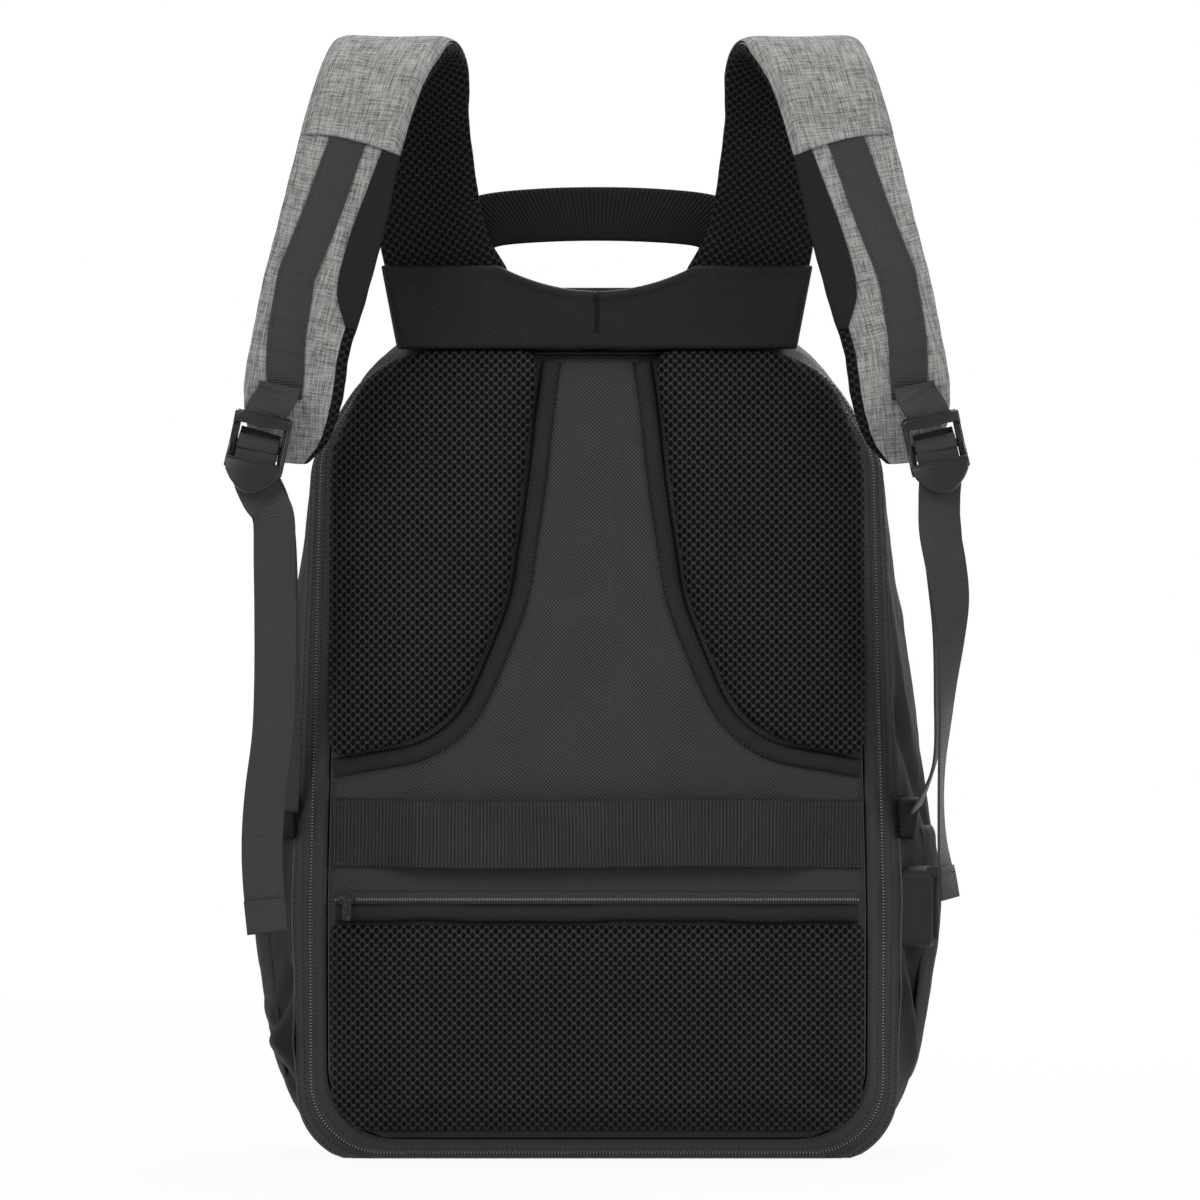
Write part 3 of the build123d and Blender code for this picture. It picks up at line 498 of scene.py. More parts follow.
base_rows = np.concatenate([mirrored(base_half)[:, ::-1][:, :-1], base_half], 1)
base_cloth = surface("base_cloth", swollen(base_rows, np.zeros(base_rows.shape[:2])),
                     [shell_cloth, lining_cloth], flip=True, thick=4.0, inner=1)
settle(base_cloth, "pack", "shell_fabric", "base_panel")

# The front: rings from the piped seam to the front face, then in to its middle
front_rows = []
for depth in np.r_[np.linspace(SEAM_DEPTH, 150, 9), np.linspace(152.5, FRONT_CLOTH, 7)]:
    front_rows.append(at_depth(both_sides(spaced(bag_ring(depth), 80)), depth, 0))
edge = front_rows[-1]
heart = np.array((0, FRONT_CLOTH, 222.0))
for share in (0.93, 0.84, 0.74, 0.62, 0.5, 0.36, 0.2, 0.06, 0.004):
    front_rows.append(heart + (edge - heart) * share)
front_rows = np.array(front_rows)
front_lift = puckered(front_rows, 23, 0.8, 80, edges=(1, 0, 0, 0))
front_lift[15:] = np.minimum(front_lift[15:], 0) * 0.3    # the face is flat for the panel
normals = facing(np.concatenate([front_rows[:, -1:], front_rows, front_rows[:, :1]], 1))[:, 1:-1]
front_cloth = surface("front_cloth", swollen(front_rows, front_lift, normals),
                      [grey_cloth, lining_cloth], closed=True, flip=True, thick=SHELL_T, inner=1, level=1)
settle(front_cloth, "pack", "melange", "front_panel")


# ------------------------------------------------------- main zip and its two tapes
# A reverse coil zip right round the back panel: two smooth coated tapes that lean
# together, each topstitched twice, with nylon teeth between them and two sliders.
ZIP_RING = (168, 4, 168.5, 150, 162, 418, 133, 463, 82, 474.5, *CORNER_R)
DOOR_RING = (159, 12, 159.5, 150, 153, 422, 127, 463, 80, 474.5, *CORNER_R)
RIM_RING = STATIONS[0][1:]
ZIP_MIDDLE = (0, 230)
RIM_TAPE = (ZIP_RING, RIM_RING, 0.8, 10.4, 1.3)      # rings, depths at both edges, crown
DOOR_TAPE = (ZIP_RING, DOOR_RING, -0.8, -9.2, 1.5)


def full_ring(numbers, grow=0.0):
    """Closed outline in (x, z) from the middle of the base, right side first."""
    ring = both_sides(spaced(half_ring(numbers), 150))
    if grow:
        step = np.roll(ring, -1, 0) - np.roll(ring, 1, 0)
        aside = np.stack([step[:, 1], -step[:, 0]], 1)
        ring = ring + grow * aside / np.linalg.norm(step, axis=1)[:, None]
    return ring


def tape_rows(inner_ring, outer_ring, d0, d1, crown, count=7):
    """A tape between two rings at two depths, crowned in its middle."""
    a, b = full_ring(inner_ring), full_ring(outer_ring)
    rows = []
    for t in np.linspace(0, 1, count):
        flat = a + (b - a) * t
        away = (flat - ZIP_MIDDLE) / np.linalg.norm(flat - ZIP_MIDDLE, axis=1)[:, None]
        rows.append(at_depth(flat + away * crown * math.sin(math.pi * t), d0 + (d1 - d0) * t, 0))
    return np.array(rows)


def thread_finish(name, shine, low, high):
    """Twisted bonded thread."""
    yarn = Finish(name, Specular_IOR_Level=shine)
    yarn.colour(yarn.cloud(0.8), low, high)
    u, v, w = yarn.spot("Object")
    return yarn.relief(((u + v + w) * 9.0).sin(), 0.05)


tape_film = coated_cloth("coated zip tape", (0.017, 0.0162, 0.0152), (0.034, 0.0325, 0.0305), (0.34, 0.5))
thread = thread_finish("bonded thread", 0.2, 0.03, 0.07)
dark_thread = thread_finish("black bonded thread", 0.15, 0.008, 0.03)
nylon = Finish("nylon teeth", Specular_IOR_Level=0.35)
nylon.colour(nylon.cloud(0.3, 4), 0.1, 0.22)
nylon.rough(nylon.cloud(0.5), 0.3, 0.45)
nylon = nylon.relief(nylon.cloud(2), 0.03)


def bead_tree():
    """Beads set along a line: small oval bodies, turned with the line."""
    tree = bpy.data.node_groups.new("beads along a line", "GeometryNodeTree")
    for label, kind in (("Line", "Geometry"), ("Pitch", "Float"), ("Size", "Vector"), ("Up", "Vector"),
                        ("Unevenness", "Float"), ("Seed", "Int"), ("Finish", "Material")):
        tree.interface.new_socket(label, in_out="INPUT", socket_type="NodeSocket" + kind)
    tree.interface.new_socket("Beads", in_out="OUTPUT", socket_type="NodeSocketGeometry")
    (given, made, curve, walk, tangent, keep, bead, shape, first, second, put, real, paint, chance,
     grow, low, high) = (tree.nodes.new(kind) for kind in (
         "NodeGroupInput", "NodeGroupOutput", "GeometryNodeMeshToCurve", "GeometryNodeResampleCurve",
         "GeometryNodeInputTangent", "GeometryNodeCaptureAttribute", "GeometryNodeMeshIcoSphere",
         "GeometryNodeSetShadeSmooth", "FunctionNodeAlignRotationToVector",
         "FunctionNodeAlignRotationToVector", "GeometryNodeInstanceOnPoints",
         "GeometryNodeRealizeInstances", "GeometryNodeSetMaterial", "FunctionNodeRandomValue",
         "ShaderNodeVectorMath", "ShaderNodeMath", "ShaderNodeMath"))
    walk.mode = "LENGTH"
    bead.inputs["Radius"].default_value, bead.inputs["Subdivisions"].default_value = 0.5, 1
    keep.capture_items.new("VECTOR", "Way")
    first.axis, second.axis, second.pivot_axis = "Z", "Y", "Z"
    low.operation, high.operation, grow.operation = "SUBTRACT", "ADD", "SCALE"
    low.inputs[0].default_value = high.inputs[0].default_value = 1.0
    for source, out, target, into in (
            (given, "Line", curve, 0), (curve, 0, walk, "Curve"), (given, "Pitch", walk, "Length"),
            (walk, 0, keep, "Geometry"), (tangent, 0, keep, "Way"), (keep, "Way", first, "Vector"),
            (first, 0, second, "Rotation"), (given, "Up", second, "Vector"),
            (keep, "Geometry", put, "Points"), (bead, 0, shape, 0), (shape, 0, put, "Instance"),
            (second, 0, put, "Rotation"), (given, "Unevenness", low, 1), (given, "Unevenness", high, 1),
            (low, 0, chance, 2), (high, 0, chance, 3), (given, "Seed", chance, "Seed"),
            (given, "Size", grow, 0), (chance, 1, grow, "Scale"), (grow, 0, put, "Scale"),
            (put, 0, real, 0), (real, 0, paint, "Geometry"), (given, "Finish", paint, "Material"),
            (paint, 0, made, 0)):
        tree.links.new(source.outputs[out], target.inputs[into])
    return tree


beads = bead_tree()


def beaded(name, body, slot, lines, pitch, size, finish, seed, uneven=0.1, up=OUT):
    """Beads on lines of (x, depth, z) points, fixed to a body; size is (thick, out, along) in mm."""
    verts, edges = [], []
    for line in lines:
        line = place(line)
        edges += [(len(verts) + i, len(verts) + i + 1) for i in range(len(line) - 1)]
        verts += line.tolist()
    mesh = bpy.data.meshes.new(name)
    mesh.from_pydata(verts, edges, [])
    source = shown(name + "_line", mesh)
    modifier = source.modifiers.new("Beads", "NODES")
    modifier.node_group = beads
    values = {"Pitch": pitch / 1000, "Size": tuple(s / 1000 for s in size), "Up": up,
              "Unevenness": uneven, "Seed": seed, "Finish": finish}
    for item in beads.interface.items_tree:
        if item.in_out == "INPUT" and item.name in values:
            modifier[item.identifier] = values[item.name]
    made = bpy.data.meshes.new_from_object(source.evaluated_get(bpy.context.evaluated_depsgraph_get()))
    bpy.data.objects.remove(source)
    made.name = name
    return settle(shown(name, made), body, slot)


settle(surface("rim_tape", tape_rows(*RIM_TAPE), tape_film, closed=True, flip=True, thick=1.0),
       "pack", "coated_tape", "rim_zip_tape")
settle(surface("door_tape", tape_rows(*DOOR_TAPE), tape_film, closed=True, thick=1.0),
       "back_panel", "coated_tape", "door_zip_tape")

teeth_ring = full_ring(ZIP_RING, 0.1)
teeth_ring = np.vstack([teeth_ring, teeth_ring[:1]])
for name, body, depth, seed in (("rim_teeth", "pack", 0.75, 3), ("door_teeth", "back_panel", -0.75, 4)):
    beaded(name, body, "coated_tape", [at_depth(teeth_ring, depth, 1.2)], 1.9, (2.2, 2.4, 1.15),
           nylon, seed, 0.04)
for name, body, tape, at in (                # at: the stitched row, of the 13 across a tape
        ("rim_stitches", "pack", RIM_TAPE, 5), ("rim_edge_stitches", "pack", RIM_TAPE, 10),
        ("door_stitches", "back_panel", DOOR_TAPE, 4),
        ("door_edge_stitches", "back_panel", DOOR_TAPE, 10)):
    line = tape_rows(*tape, 13)[at] - (0, 0.35, 0)
    line[:, 2] = np.maximum(line[:, 2], 0.8)
    beaded(name, body, "coated_tape", [np.vstack([line, line[:1]])], 3.1, (0.55, 0.55, 2.3),
           thread, 7, 0.08)


# --------------------------------------------------------------- back panel, its cloth
# Ballistic nylon over a foam board: a coarse two ply weave that shows as rows of pale
# dots. It runs between the pads and widens to the full width of the bag below them.
def ballistic_cloth(name, low, high):
    cloth = Finish(name, Specular_IOR_Level=0.12)
    u, v, _ = cloth.spot("UV")
    dot = staggered(u, v, 2.3, 0.95, 0.4)
    ply = u.wave(0.41)
    age = cloth.grain(u * 0.03, v * 0.03, detail=4)
    yarn = cloth.grain(u * 1.1, v * 1.1, 2.0, detail=2)
    cloth.colour(dot * (0.55 + yarn * 0.6) + age * 0.25 - 0.06, low, high)
    cloth.rough(dot, 0.68, 0.46)
    return cloth.relief(dot + ply * 0.08 * dot + yarn * 0.2, 0.3)


spine_cloth = ballistic_cloth("ballistic nylon", (0.006, 0.0054, 0.0056), (0.054, 0.05, 0.0515))
yoke_cloth = ballistic_cloth("black ballistic nylon", 0.002, 0.02)

foam_board = Finish("closed cell board", Specular_IOR_Level=0.3)
foam_board.colour(foam_board.cloud(0.4, 5), 0.1, 0.16)
foam_board.rough(foam_board.cloud(1), 0.6, 0.8)
foam_board = foam_board.relief(foam_board.cloud(1.5), 0.12)


def repaint(finish, *nodes):
    """Gives solids that stay in view their finish."""
    for node in nodes:
        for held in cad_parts[node].material_slots:
            held.link, held.material = "OBJECT", finish


repaint(foam_board, "back_board")

PAD_FACE = 11.0                  # how far the cloth stands out from the rim of the bag
SPINE_LOW, SPINE_HIGH = 13.2, 473.2
SPINE_INSET, SPINE_TURN, SPINE_ROLL = 1.6, 1.6, 7.0
door_half = half_ring(DOOR_RING)
door_half = door_half[np.argsort(door_half[:, 1])]
spine_rows = []
for z in SPINE_LOW + (SPINE_HIGH - SPINE_LOW) * np.linspace(0, 1, 90):
    reach = np.interp(z, door_half[:, 1], door_half[:, 0]) - SPINE_INSET
    x = reach * np.linspace(-1, 1, 61)
    rim = np.minimum(reach - np.abs(x), np.minimum(z - SPINE_LOW + 1.2, SPINE_HIGH + 1.8 - z))
    rim = np.clip(rim / SPINE_ROLL, 0, 1)
    depth = -PAD_FACE + SPINE_TURN * (1 - np.sin(rim * math.pi / 2))
    depth = depth - 0.35 * np.exp(-(x / 26) ** 2) * np.clip((z - 230) / 60, 0, 1)
    spine_rows.append(np.stack([x, depth, np.full(61, z)], 1))
spine_rows = np.array(spine_rows)
spine = surface("spine_cloth", spine_rows, spine_cloth, thick=2.6)
settle(spine, "back_panel", "ballistic", "spine_panel")


# ------------------------------------------------------------------ mesh covered pads
# Three foam pads under black spacer mesh: a knit with oval holes in staggered rows over a lower layer;
# the holes are coloured near black as painted shade in their recesses.
# They swell between their bound edges and lie flat against the board.
def mesh_cloth(name, kind, low=0.002, high=0.043):
    knit = Finish(name, Specular_IOR_Level=0.1, Roughness=0.85)
    a, b, c = knit.spot(kind)
    u, v = (a, c) if kind == "Object" else (a, b)
    shaded_hole = staggered(u, v, 5.4, 1.75, 1.0)
    strand = knit.grain(u * 1.6, v * 1.6, detail=3)
    age = knit.grain(u * 0.02, v * 0.02, detail=4)
    # The holes take the low colour as painted shade in their recesses; the knit between them varies at
    # random.
    knit.colour((1.0 - shaded_hole) * (0.35 + strand * 0.65 + age * 0.3), low, high)
    return knit.relief((1.0 - shaded_hole) + strand * 0.35, 0.9)


pad_mesh = mesh_cloth("spacer mesh", "Object")
strap_mesh = mesh_cloth("strap spacer mesh", "UV", 0.002, 0.026)


def cleaned(mesh, merge=0.0, turn=True):
    """The mesh with its double points merged and its faces turned outwards."""
    solid = bmesh.new()
    solid.from_mesh(mesh)
    if merge:
        bmesh.ops.remove_doubles(solid, verts=solid.verts, dist=merge)
    if turn:
        bmesh.ops.recalc_face_normals(solid, faces=solid.faces)
    solid.to_mesh(mesh)
    solid.free()
    return mesh


PAD_VOXEL, PAD_SLIM, PAD_HELD, PAD_REACH = 4.6, 0.8, 3.0, 4.0       # mm
PAD_FILL, PRESSURE, BLOWN_FRAMES = 0.7, 4.0, 20


def blown(pad, start, held, cap):
    """Points of a pad after cloth pressure, moved at most cap mm, where held ones stay."""
    hold = pad.vertex_groups.new(name="Hold")
    hold.add([int(i) for i in np.where(held)[0]], 1.0, "REPLACE")
    cloth = pad.modifiers.new("Cloth", "CLOTH")
    cloth.settings.use_pressure = True
    cloth.settings.uniform_pressure_force = PRESSURE
    cloth.settings.effector_weights.gravity = 0
    cloth.settings.vertex_group_mass = hold.name
    cloth.settings.quality = 5
    cloth.point_cache.frame_start, cloth.point_cache.frame_end = 1, BLOWN_FRAMES
    for step in range(1, BLOWN_FRAMES + 1):
        bpy.context.scene.frame_set(step)
    mesh = pad.evaluated_get(bpy.context.evaluated_depsgraph_get()).data
    way = np.array([v.co for v in mesh.vertices]) - start
    pad.modifiers.remove(cloth)
    bpy.context.scene.frame_set(1)
    far = np.linalg.norm(way, axis=1, keepdims=True)
    return start + way * np.minimum(1, cap / 1000 / np.maximum(far, 1e-9))


def puffed(name, node, finish, cap=4.0, rise=0.0):
    """A pad grown from its solid: remeshed, blown up by cloth pressure, held at the board.

    Its outer side, and its top by rise, are stretched over the seam allowance by the zip."""
    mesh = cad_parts[node].data.copy()
    mesh.name = name
    cleaned(mesh, 1e-5, turn=False).materials.clear()
    pad = dressed(name, mesh, finish)
    with bpy.context.temp_override(object=pad, active_object=pad, selected_objects=[pad]):
        even = pad.modifiers.new("Even", "REMESH")
        even.mode, even.voxel_size, even.use_smooth_shade = "VOXEL", PAD_VOXEL / 1000, True
        bpy.ops.object.modifier_apply(modifier=even.name)
    start = np.array([v.co for v in pad.data.vertices])
    low, high = (np.array(corner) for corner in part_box(node))
    centre = (low + high) / 2
    inset = (start - centre) * (1 - PAD_SLIM / 1000 / ((high - low) / 2)) + centre
    held = (high[1] - start[:, 1]) / (PAD_HELD / 1000) < 0.95
    start[:, 0], start[:, 2] = inset[:, 0], inset[:, 2]
    outer = np.abs(start[:, 0])
    share = ((outer - outer.min()) / np.ptp(outer)) ** 0.5
    start[:, 0] *= 1 + PAD_REACH / 1000 * share / np.maximum(outer, 1e-4)
    upper = np.clip((start[:, 2] - low[2]) / (high[2] - low[2]) * 2 - 1, 0, 1)
    start[:, 2] += rise / 1000 * upper ** 2
    pad.data.vertices.foreach_set("co", start.astype(np.float32).ravel())
    moved = blown(pad, start, held, cap)
    moved[:, 1] = np.minimum(moved[:, 1], high[1])
    pad.data.vertices.foreach_set("co", moved.astype(np.float32).ravel())
    settle(smoothed(pad, 1), "back_panel", "mesh", node)


for _, word in SIDES:
    puffed(f"back_pad_{word}", f"upper_pad_{word}", pad_mesh, 4.5, rise=7.5)
puffed("waist_pad", "lumbar_pad", pad_mesh)


# ---------------------------------------------------- bindings and the waist pocket zip
# Grosgrain tape folded over the raw edges of the pads and stitched down, and a short
# coil zip above the waist pad with one slider. The zip's own solids carry its metal.
def grosgrain(name, low, high, pitch=0.85):
    tape = Finish(name, Specular_IOR_Level=0.12)
    u, v, _ = tape.spot("UV")
    rib = v.wave(pitch) * 0.5 + 0.5
    yarn = tape.grain(u * 1.5, v * 0.4, detail=3)
    worn = tape.grain(u * 0.06, v * 0.03, 5.0, detail=3)
    tape.colour(rib * 0.35 + yarn * 0.4 + worn * 0.35, low, high)
    tape.rough(yarn, 0.62, 0.85)
    return tape.relief(rib * 0.6 + yarn * 0.5, 0.12)


bound_edge = grosgrain("grosgrain binding", (0.009, 0.0084, 0.0078), (0.027, 0.0254, 0.024))


def tread(path, out=None, turn=None):
    """Spot, across and outward directions at each point of a path of (x, depth, z)."""
    path = np.asarray(path, float)
    along = np.gradient(path, axis=0)
    along /= np.linalg.norm(along, axis=1, keepdims=True)
    if out is None:
        across = np.array((1, 0, 0)) - along * along[:, :1]
    else:
        across = np.cross(np.asarray(out, float) + np.zeros(path.shape), along)
    across /= np.linalg.norm(across, axis=1, keepdims=True)
    outward = np.cross(along, across)
    if turn is not None:
        c, s = np.cos(turn)[:, None], np.sin(turn)[:, None]
        across, outward = across * c + outward * s, outward * c - across * s
    return path, across, outward


def swept(name, path, section, finishes, out=None, turn=None, level=0, paint=None):
    """A closed section of (across, outward) points carried along a path and capped.

    section is one outline or one for each point; paint gives a finish number by face."""
    spots, across, outward = tread(path, out, turn)
    sections = np.asarray(section, float)
    if sections.ndim == 2:
        sections = np.repeat(sections[None], len(spots), 0)
    rows = spots[:, None] + across[:, None] * sections[..., :1] + outward[:, None] * sections[..., 1:]
    count, wide = rows.shape[:2]
    run = np.r_[0, np.cumsum(np.linalg.norm(np.diff(spots, axis=0), axis=1))]
    rings = [[(r, c % wide) for r, c in ring] for ring in quads(count, wide)]
    faces = [[r * wide + c for r, c in ring] for ring in rings]
    spins = [(sections[r, c, 0], run[r]) for ring in rings for r, c in ring]
    for r in (0, count - 1):
        faces.append([r * wide + c for c in range(wide)])
        spins += [(sections[r, c, 0], run[r] + sections[r, c, 1]) for c in range(wide)]
    mesh = cloth_mesh(name, rows, faces, spins)
    if paint is not None:
        shades = [int(paint(r, c, sections)) for r in range(count - 1) for c in range(wide)]
        mesh.polygons.foreach_set("material_index", shades + [shades[0], shades[-1]])
    return dressed(name, cleaned(mesh), finishes, level=level)


def band(wide, thick):
    """Flat webbing section with softly rounded edges, as a closed outline."""
    x, y = wide / 2, thick / 2
    return rounded([(x, -y), (x, y), (-x, y), (-x, -y)], [thick * 0.48] * 4, closed=True, fine=3)


def dome(wide, high, sole=0.0):
    """Half round tape section that stands on its flat."""
    turn = np.linspace(0, math.pi, 11)
    arch = np.stack([wide / 2 * np.cos(turn), sole + high * np.sin(turn) ** 0.7], 1)
    return np.vstack([arch, [(-wide / 2, -0.3), (wide / 2, -0.3)]])


SEAM_LINE, SEAM_R = ((32, 470), (50, 332), (84, 249), (155, 236)), (110, 62)
SEAM_SIDEWAYS = ((-1, 0), (-1, -0.15), (-0.55, -1), (0, -1))      # off the pad, at each point
BINDING = 11.0


def seam_run(side, shift):
    """The seam between an upper pad and the spine, shifted off the pad."""
    flat = [(side * (x + shift * a), z + shift * b) for (x, z), (a, b) in zip(SEAM_LINE, SEAM_SIDEWAYS)]
    return at_depth(spaced(rounded(flat, SEAM_R, fine=16), 90), -PAD_FACE)


for side, word in SIDES:
    middle = seam_run(side, BINDING / 2)
    middle[:, 0] += 0.5 * np.sin(np.linspace(0, 19, 90)) * side
    piece = swept(f"pad_binding_tape_{word}", middle, dome(BINDING, 4.6), bound_edge, out=OUT)
    settle(piece, "back_panel", "binding", f"pad_binding_{word}")
    for name, shift, up in (("inner", 2.2, 3.6), ("outer", BINDING - 1.6, 3.1)):
        beaded(f"pad_{name}_stitches_{word}", "back_panel", "binding",
               [seam_run(side, shift) - (0, up, 0)], 3.0, (0.6, 0.6, 2.3), thread, 9)

WAIST_HALF, WAIST_Z, ZIP_Z = 153.5, 145, 154.0
across = np.linspace(-WAIST_HALF, WAIST_HALF, 120)
wander = 0.5 * np.sin(across / 23) + 0.3 * np.sin(across / 9)
waist_run = at_depth(np.stack([across, WAIST_Z + wander], 1), -PAD_FACE)
settle(swept("waist_binding_tape", waist_run, dome(10.5, 6.2), bound_edge, out=OUT),
       "back_panel", "binding", "lumbar_binding")
beaded("waist_stitches", "back_panel", "binding", [waist_run + (0, -5.2, z) for z in (2.8, -2.8)],
       3.0, (0.6, 0.6, 2.3), thread, 12)

level_run = np.stack([across, np.zeros(120)], 1)
settle(swept("waist_zip_tape", at_depth(level_run + (0, ZIP_Z), -PAD_FACE - 0.6), band(7.6, 1.2),
             tape_film, out=OUT), "back_panel", "coated_tape", "pocket_zip")
beaded("waist_zip_teeth", "back_panel", "coated_tape",
       [at_depth(level_run + (0, ZIP_Z - 0.8), -PAD_FACE - 1.5)], 1.5, (2.6, 1.7, 1.2), nylon, 5, 0.05)


# --------------------------------------------------------------------- trolley strap
# A 40 mm band of ribbed webbing across the back that slips over a trolley handle; its
# ends are sewn flat with a box and a cross, the middle stands off the panel.
def ribbed_webbing(name, low, high, pitch=1.3, gloss=(0.42, 0.62), deep=0.25):
    belt = Finish(name, Specular_IOR_Level=0.16)
    u, v, _ = belt.spot("UV")
    rib = v.wave(pitch) * 0.5 + 0.5
    weft = u.wave(0.9) * 0.5 + 0.5
    yarn = belt.grain(u * 0.5, v * 1.6, detail=3)
    worn = belt.grain(u * 0.05, v * 0.02, 2.0, detail=4)
    belt.colour(rib * 0.6 + yarn * 0.25 + worn * 0.35 - 0.1, low, high)
    belt.rough(yarn * 0.5 + worn * 0.5, *gloss)
    return belt.relief(rib + weft * 0.2 + yarn * 0.3, deep)


strap_weave = ribbed_webbing("ribbed trolley webbing", 0.006, 0.042, 2.1, deep=0.6)
STRAP_Z, STRAP_H = 172, 40
lifted = ((0, 9.6), (60, 9.3), (100, 8.6), (112, 5.2), (126, 0.4), (140, 0), (156, 0))
profile = eased([*((-x, y) for x, y in lifted[:0:-1]), *lifted], 8)[::-1]
belt_run = np.stack([profile[:, 0], -PAD_FACE - 1.1 - profile[:, 1],
                     STRAP_Z + STRAP_H / 2 + 0.6 * np.sin(profile[:, 0] / 37)], 1)
settle(swept("trolley_strap", belt_run, band(STRAP_H, 2.2), strap_weave, out=OUT),
       "back_panel", "webbing", "luggage_strap")


def between(a, b, count):
    """Points evenly along the straight line from a to b."""
    a, b = np.asarray(a, float), np.asarray(b, float)
    return a + (b - a) * np.linspace(0, 1, count)[:, None]


for side, word in SIDES:
    x0, x1, z0, z1 = side * 123, side * 152, STRAP_Z + 3, STRAP_Z + STRAP_H - 3
    box = (x0, z0), (x0, z1), (x1, z1), (x1, z0)
    second = (side * 121, z0), (side * 121, z1)
    sewn = []
    for a, b in (*zip(box, box[1:] + box[:1]), (box[0], box[2]), (box[1], box[3]), second):
        flat = between(a, b, 8)
        line = at_depth(flat, -PAD_FACE - 2.5)
        line[:, 1] -= 0.5 * (np.abs(flat[:, 0]) < 125)
        sewn.append(line)
    beaded(f"trolley_strap_stitches_{word}", "back_panel", "webbing", sewn,
           2.6, (0.7, 0.7, 2.1), thread, 6)


# ------------------------------------------------------------------ yoke and its gusset
# A padded trapezium of black ballistic nylon that the straps grow out of, scooped in the
# middle, topstitched along its upper edge, with a short gusset on top of the bag.
def slab(name, front, back, finish):
    """A padded panel: front and back grids of the same size, joined round the edge."""
    rows, wide = front.shape[:2]
    n = rows * wide
    u = walked(front, 1)
    v = walked(front, 0).mean(axis=1, keepdims=True) + np.zeros((1, wide))
    at = np.stack([np.tile(u.ravel(), 2), np.tile(v.ravel(), 2)], 1)
    faces = []
    for ring in quads(rows, wide - 1):
        ring = [r * wide + c for r, c in ring]
        faces += [ring, [i + n for i in reversed(ring)]]
    border = [*range(wide), *range(2 * wide - 1, n, wide),
              *range(n - 2, n - wide - 1, -1), *range(n - 2 * wide, 0, -wide)]
    faces += [[b, a, a + n, b + n] for a, b in zip(border, border[1:] + border[:1])]
    points = np.concatenate([front.reshape(-1, 3), back.reshape(-1, 3)])
    mesh = cloth_mesh(name, points, faces, at[[i for face in faces for i in face]])
    return dressed(name, cleaned(mesh), finish, level=1)


YOKE_LOW, YOKE_TOP, YOKE_FACE, YOKE_BACK = 476.5, 526.0, 26.0, 17.0
SCOOP_HALF, SCOOP_DEEP, SCOOP_Z = 58, 15, 511
SCOOP_R = (SCOOP_HALF**2 + SCOOP_DEEP**2) / (2 * SCOOP_DEEP)
yoke_front = []
for t in np.linspace(0, 1, 25):
    row = []
    for s in np.linspace(-1, 1, 121):
        s *= 0.4 + 0.6 * abs(s)
        top_x = 127 * s
        top = YOKE_TOP
        if abs(top_x) < SCOOP_HALF:
            top = SCOOP_Z + SCOOP_R - math.sqrt(SCOOP_R**2 - top_x**2)
        z = YOKE_LOW + t * (top - YOKE_LOW)
        x = s * (117.5 + 9.5 * (z - YOKE_LOW) / (YOKE_TOP - YOKE_LOW))
        edge = min(1, min(t, 1 - t) * (top - YOKE_LOW) / 4, (1 - abs(s)) * 122 / 4)
        face = -YOKE_FACE + 2.6 * (1 - math.sqrt(max(0, 1 - (1 - edge) ** 2)))
        face += 1.3 * math.exp(-((top - z - 7) / 1.6) ** 2)       # sewn down under its edge
        face += 2.6 * math.exp(-x**2) * (t > 0.25)                # and along its middle
        face -= 1.2 * math.sin(abs(x) / 19 + 0.6) * math.sin((z - YOKE_LOW) / 12)
        face += 0.6 * math.sin(x / 9 + z / 8)
        row.append((x, max(face, -YOKE_FACE - 1.2), z))
    yoke_front.append(row)
yoke_front = np.array(yoke_front)
yoke_back = yoke_front.copy()
yoke_back[..., 1] = -YOKE_BACK
yoke = slab("yoke_cloth", yoke_front, yoke_back, yoke_cloth)
settle(yoke, "pack", "ballistic", "yoke_panel")
beaded("yoke_stitches", "pack", "ballistic", [(yoke_front[-4] - (0, 0.25, 0))[2:-2]],
       3.2, (0.6, 0.6, 2.4), dark_thread, 14)

DECK_HALF = 113
deck_profile = rounded(((-17, 486), (-17, 513), (8, 513), (62, 503), (62, 484), (16, 484)),
                       (3, 3, 22, 4, 2, 2), closed=True, fine=4)
deck_run = between((-DECK_HALF, 0, 0), (DECK_HALF, 0, 0), 60)
deck_sections = []
for x in deck_run[:, 0]:
    end = min(1, (DECK_HALF - abs(x)) / 5)
    sag = 1.2 * math.sin(x / 19) * math.sin(x / 47)
    shape = deck_profile.copy()
    shape[:, 1] -= (shape[:, 1] > 490) * (1 - math.sqrt(1 - (1 - end) ** 2)) * 3
    shape[:, 1] -= np.where((shape[:, 0] > 10) & (shape[:, 1] > 495), 0.6 + sag, 0)
    deck_sections.append(shape)
deck = swept("yoke_gusset_cloth", deck_run, np.array(deck_sections)[..., ::-1] * (1, -1),
             shell_cloth, out=OUT)
settle(deck, "pack", "shell_fabric", "yoke_gusset")


# ------------------------------------------------------------------------ grab handle
# A flat arch of heavy ribbed webbing, folded and sewn in under the strap roots.
handle_weave = ribbed_webbing("ribbed handle webbing", 0.001, 0.015, 2.3, (0.55, 0.75), deep=0.6)
HANDLE_FOOT, HANDLE_DEPTH, HANDLE_T = 513.4, 3.0, 2.9


def arch(*points):
    """The whole of an arch from its right half, from the foot to the crown."""
    return spaced(eased([*((-x, z) for x, z in points), *points[-2::-1]], 8), 81)


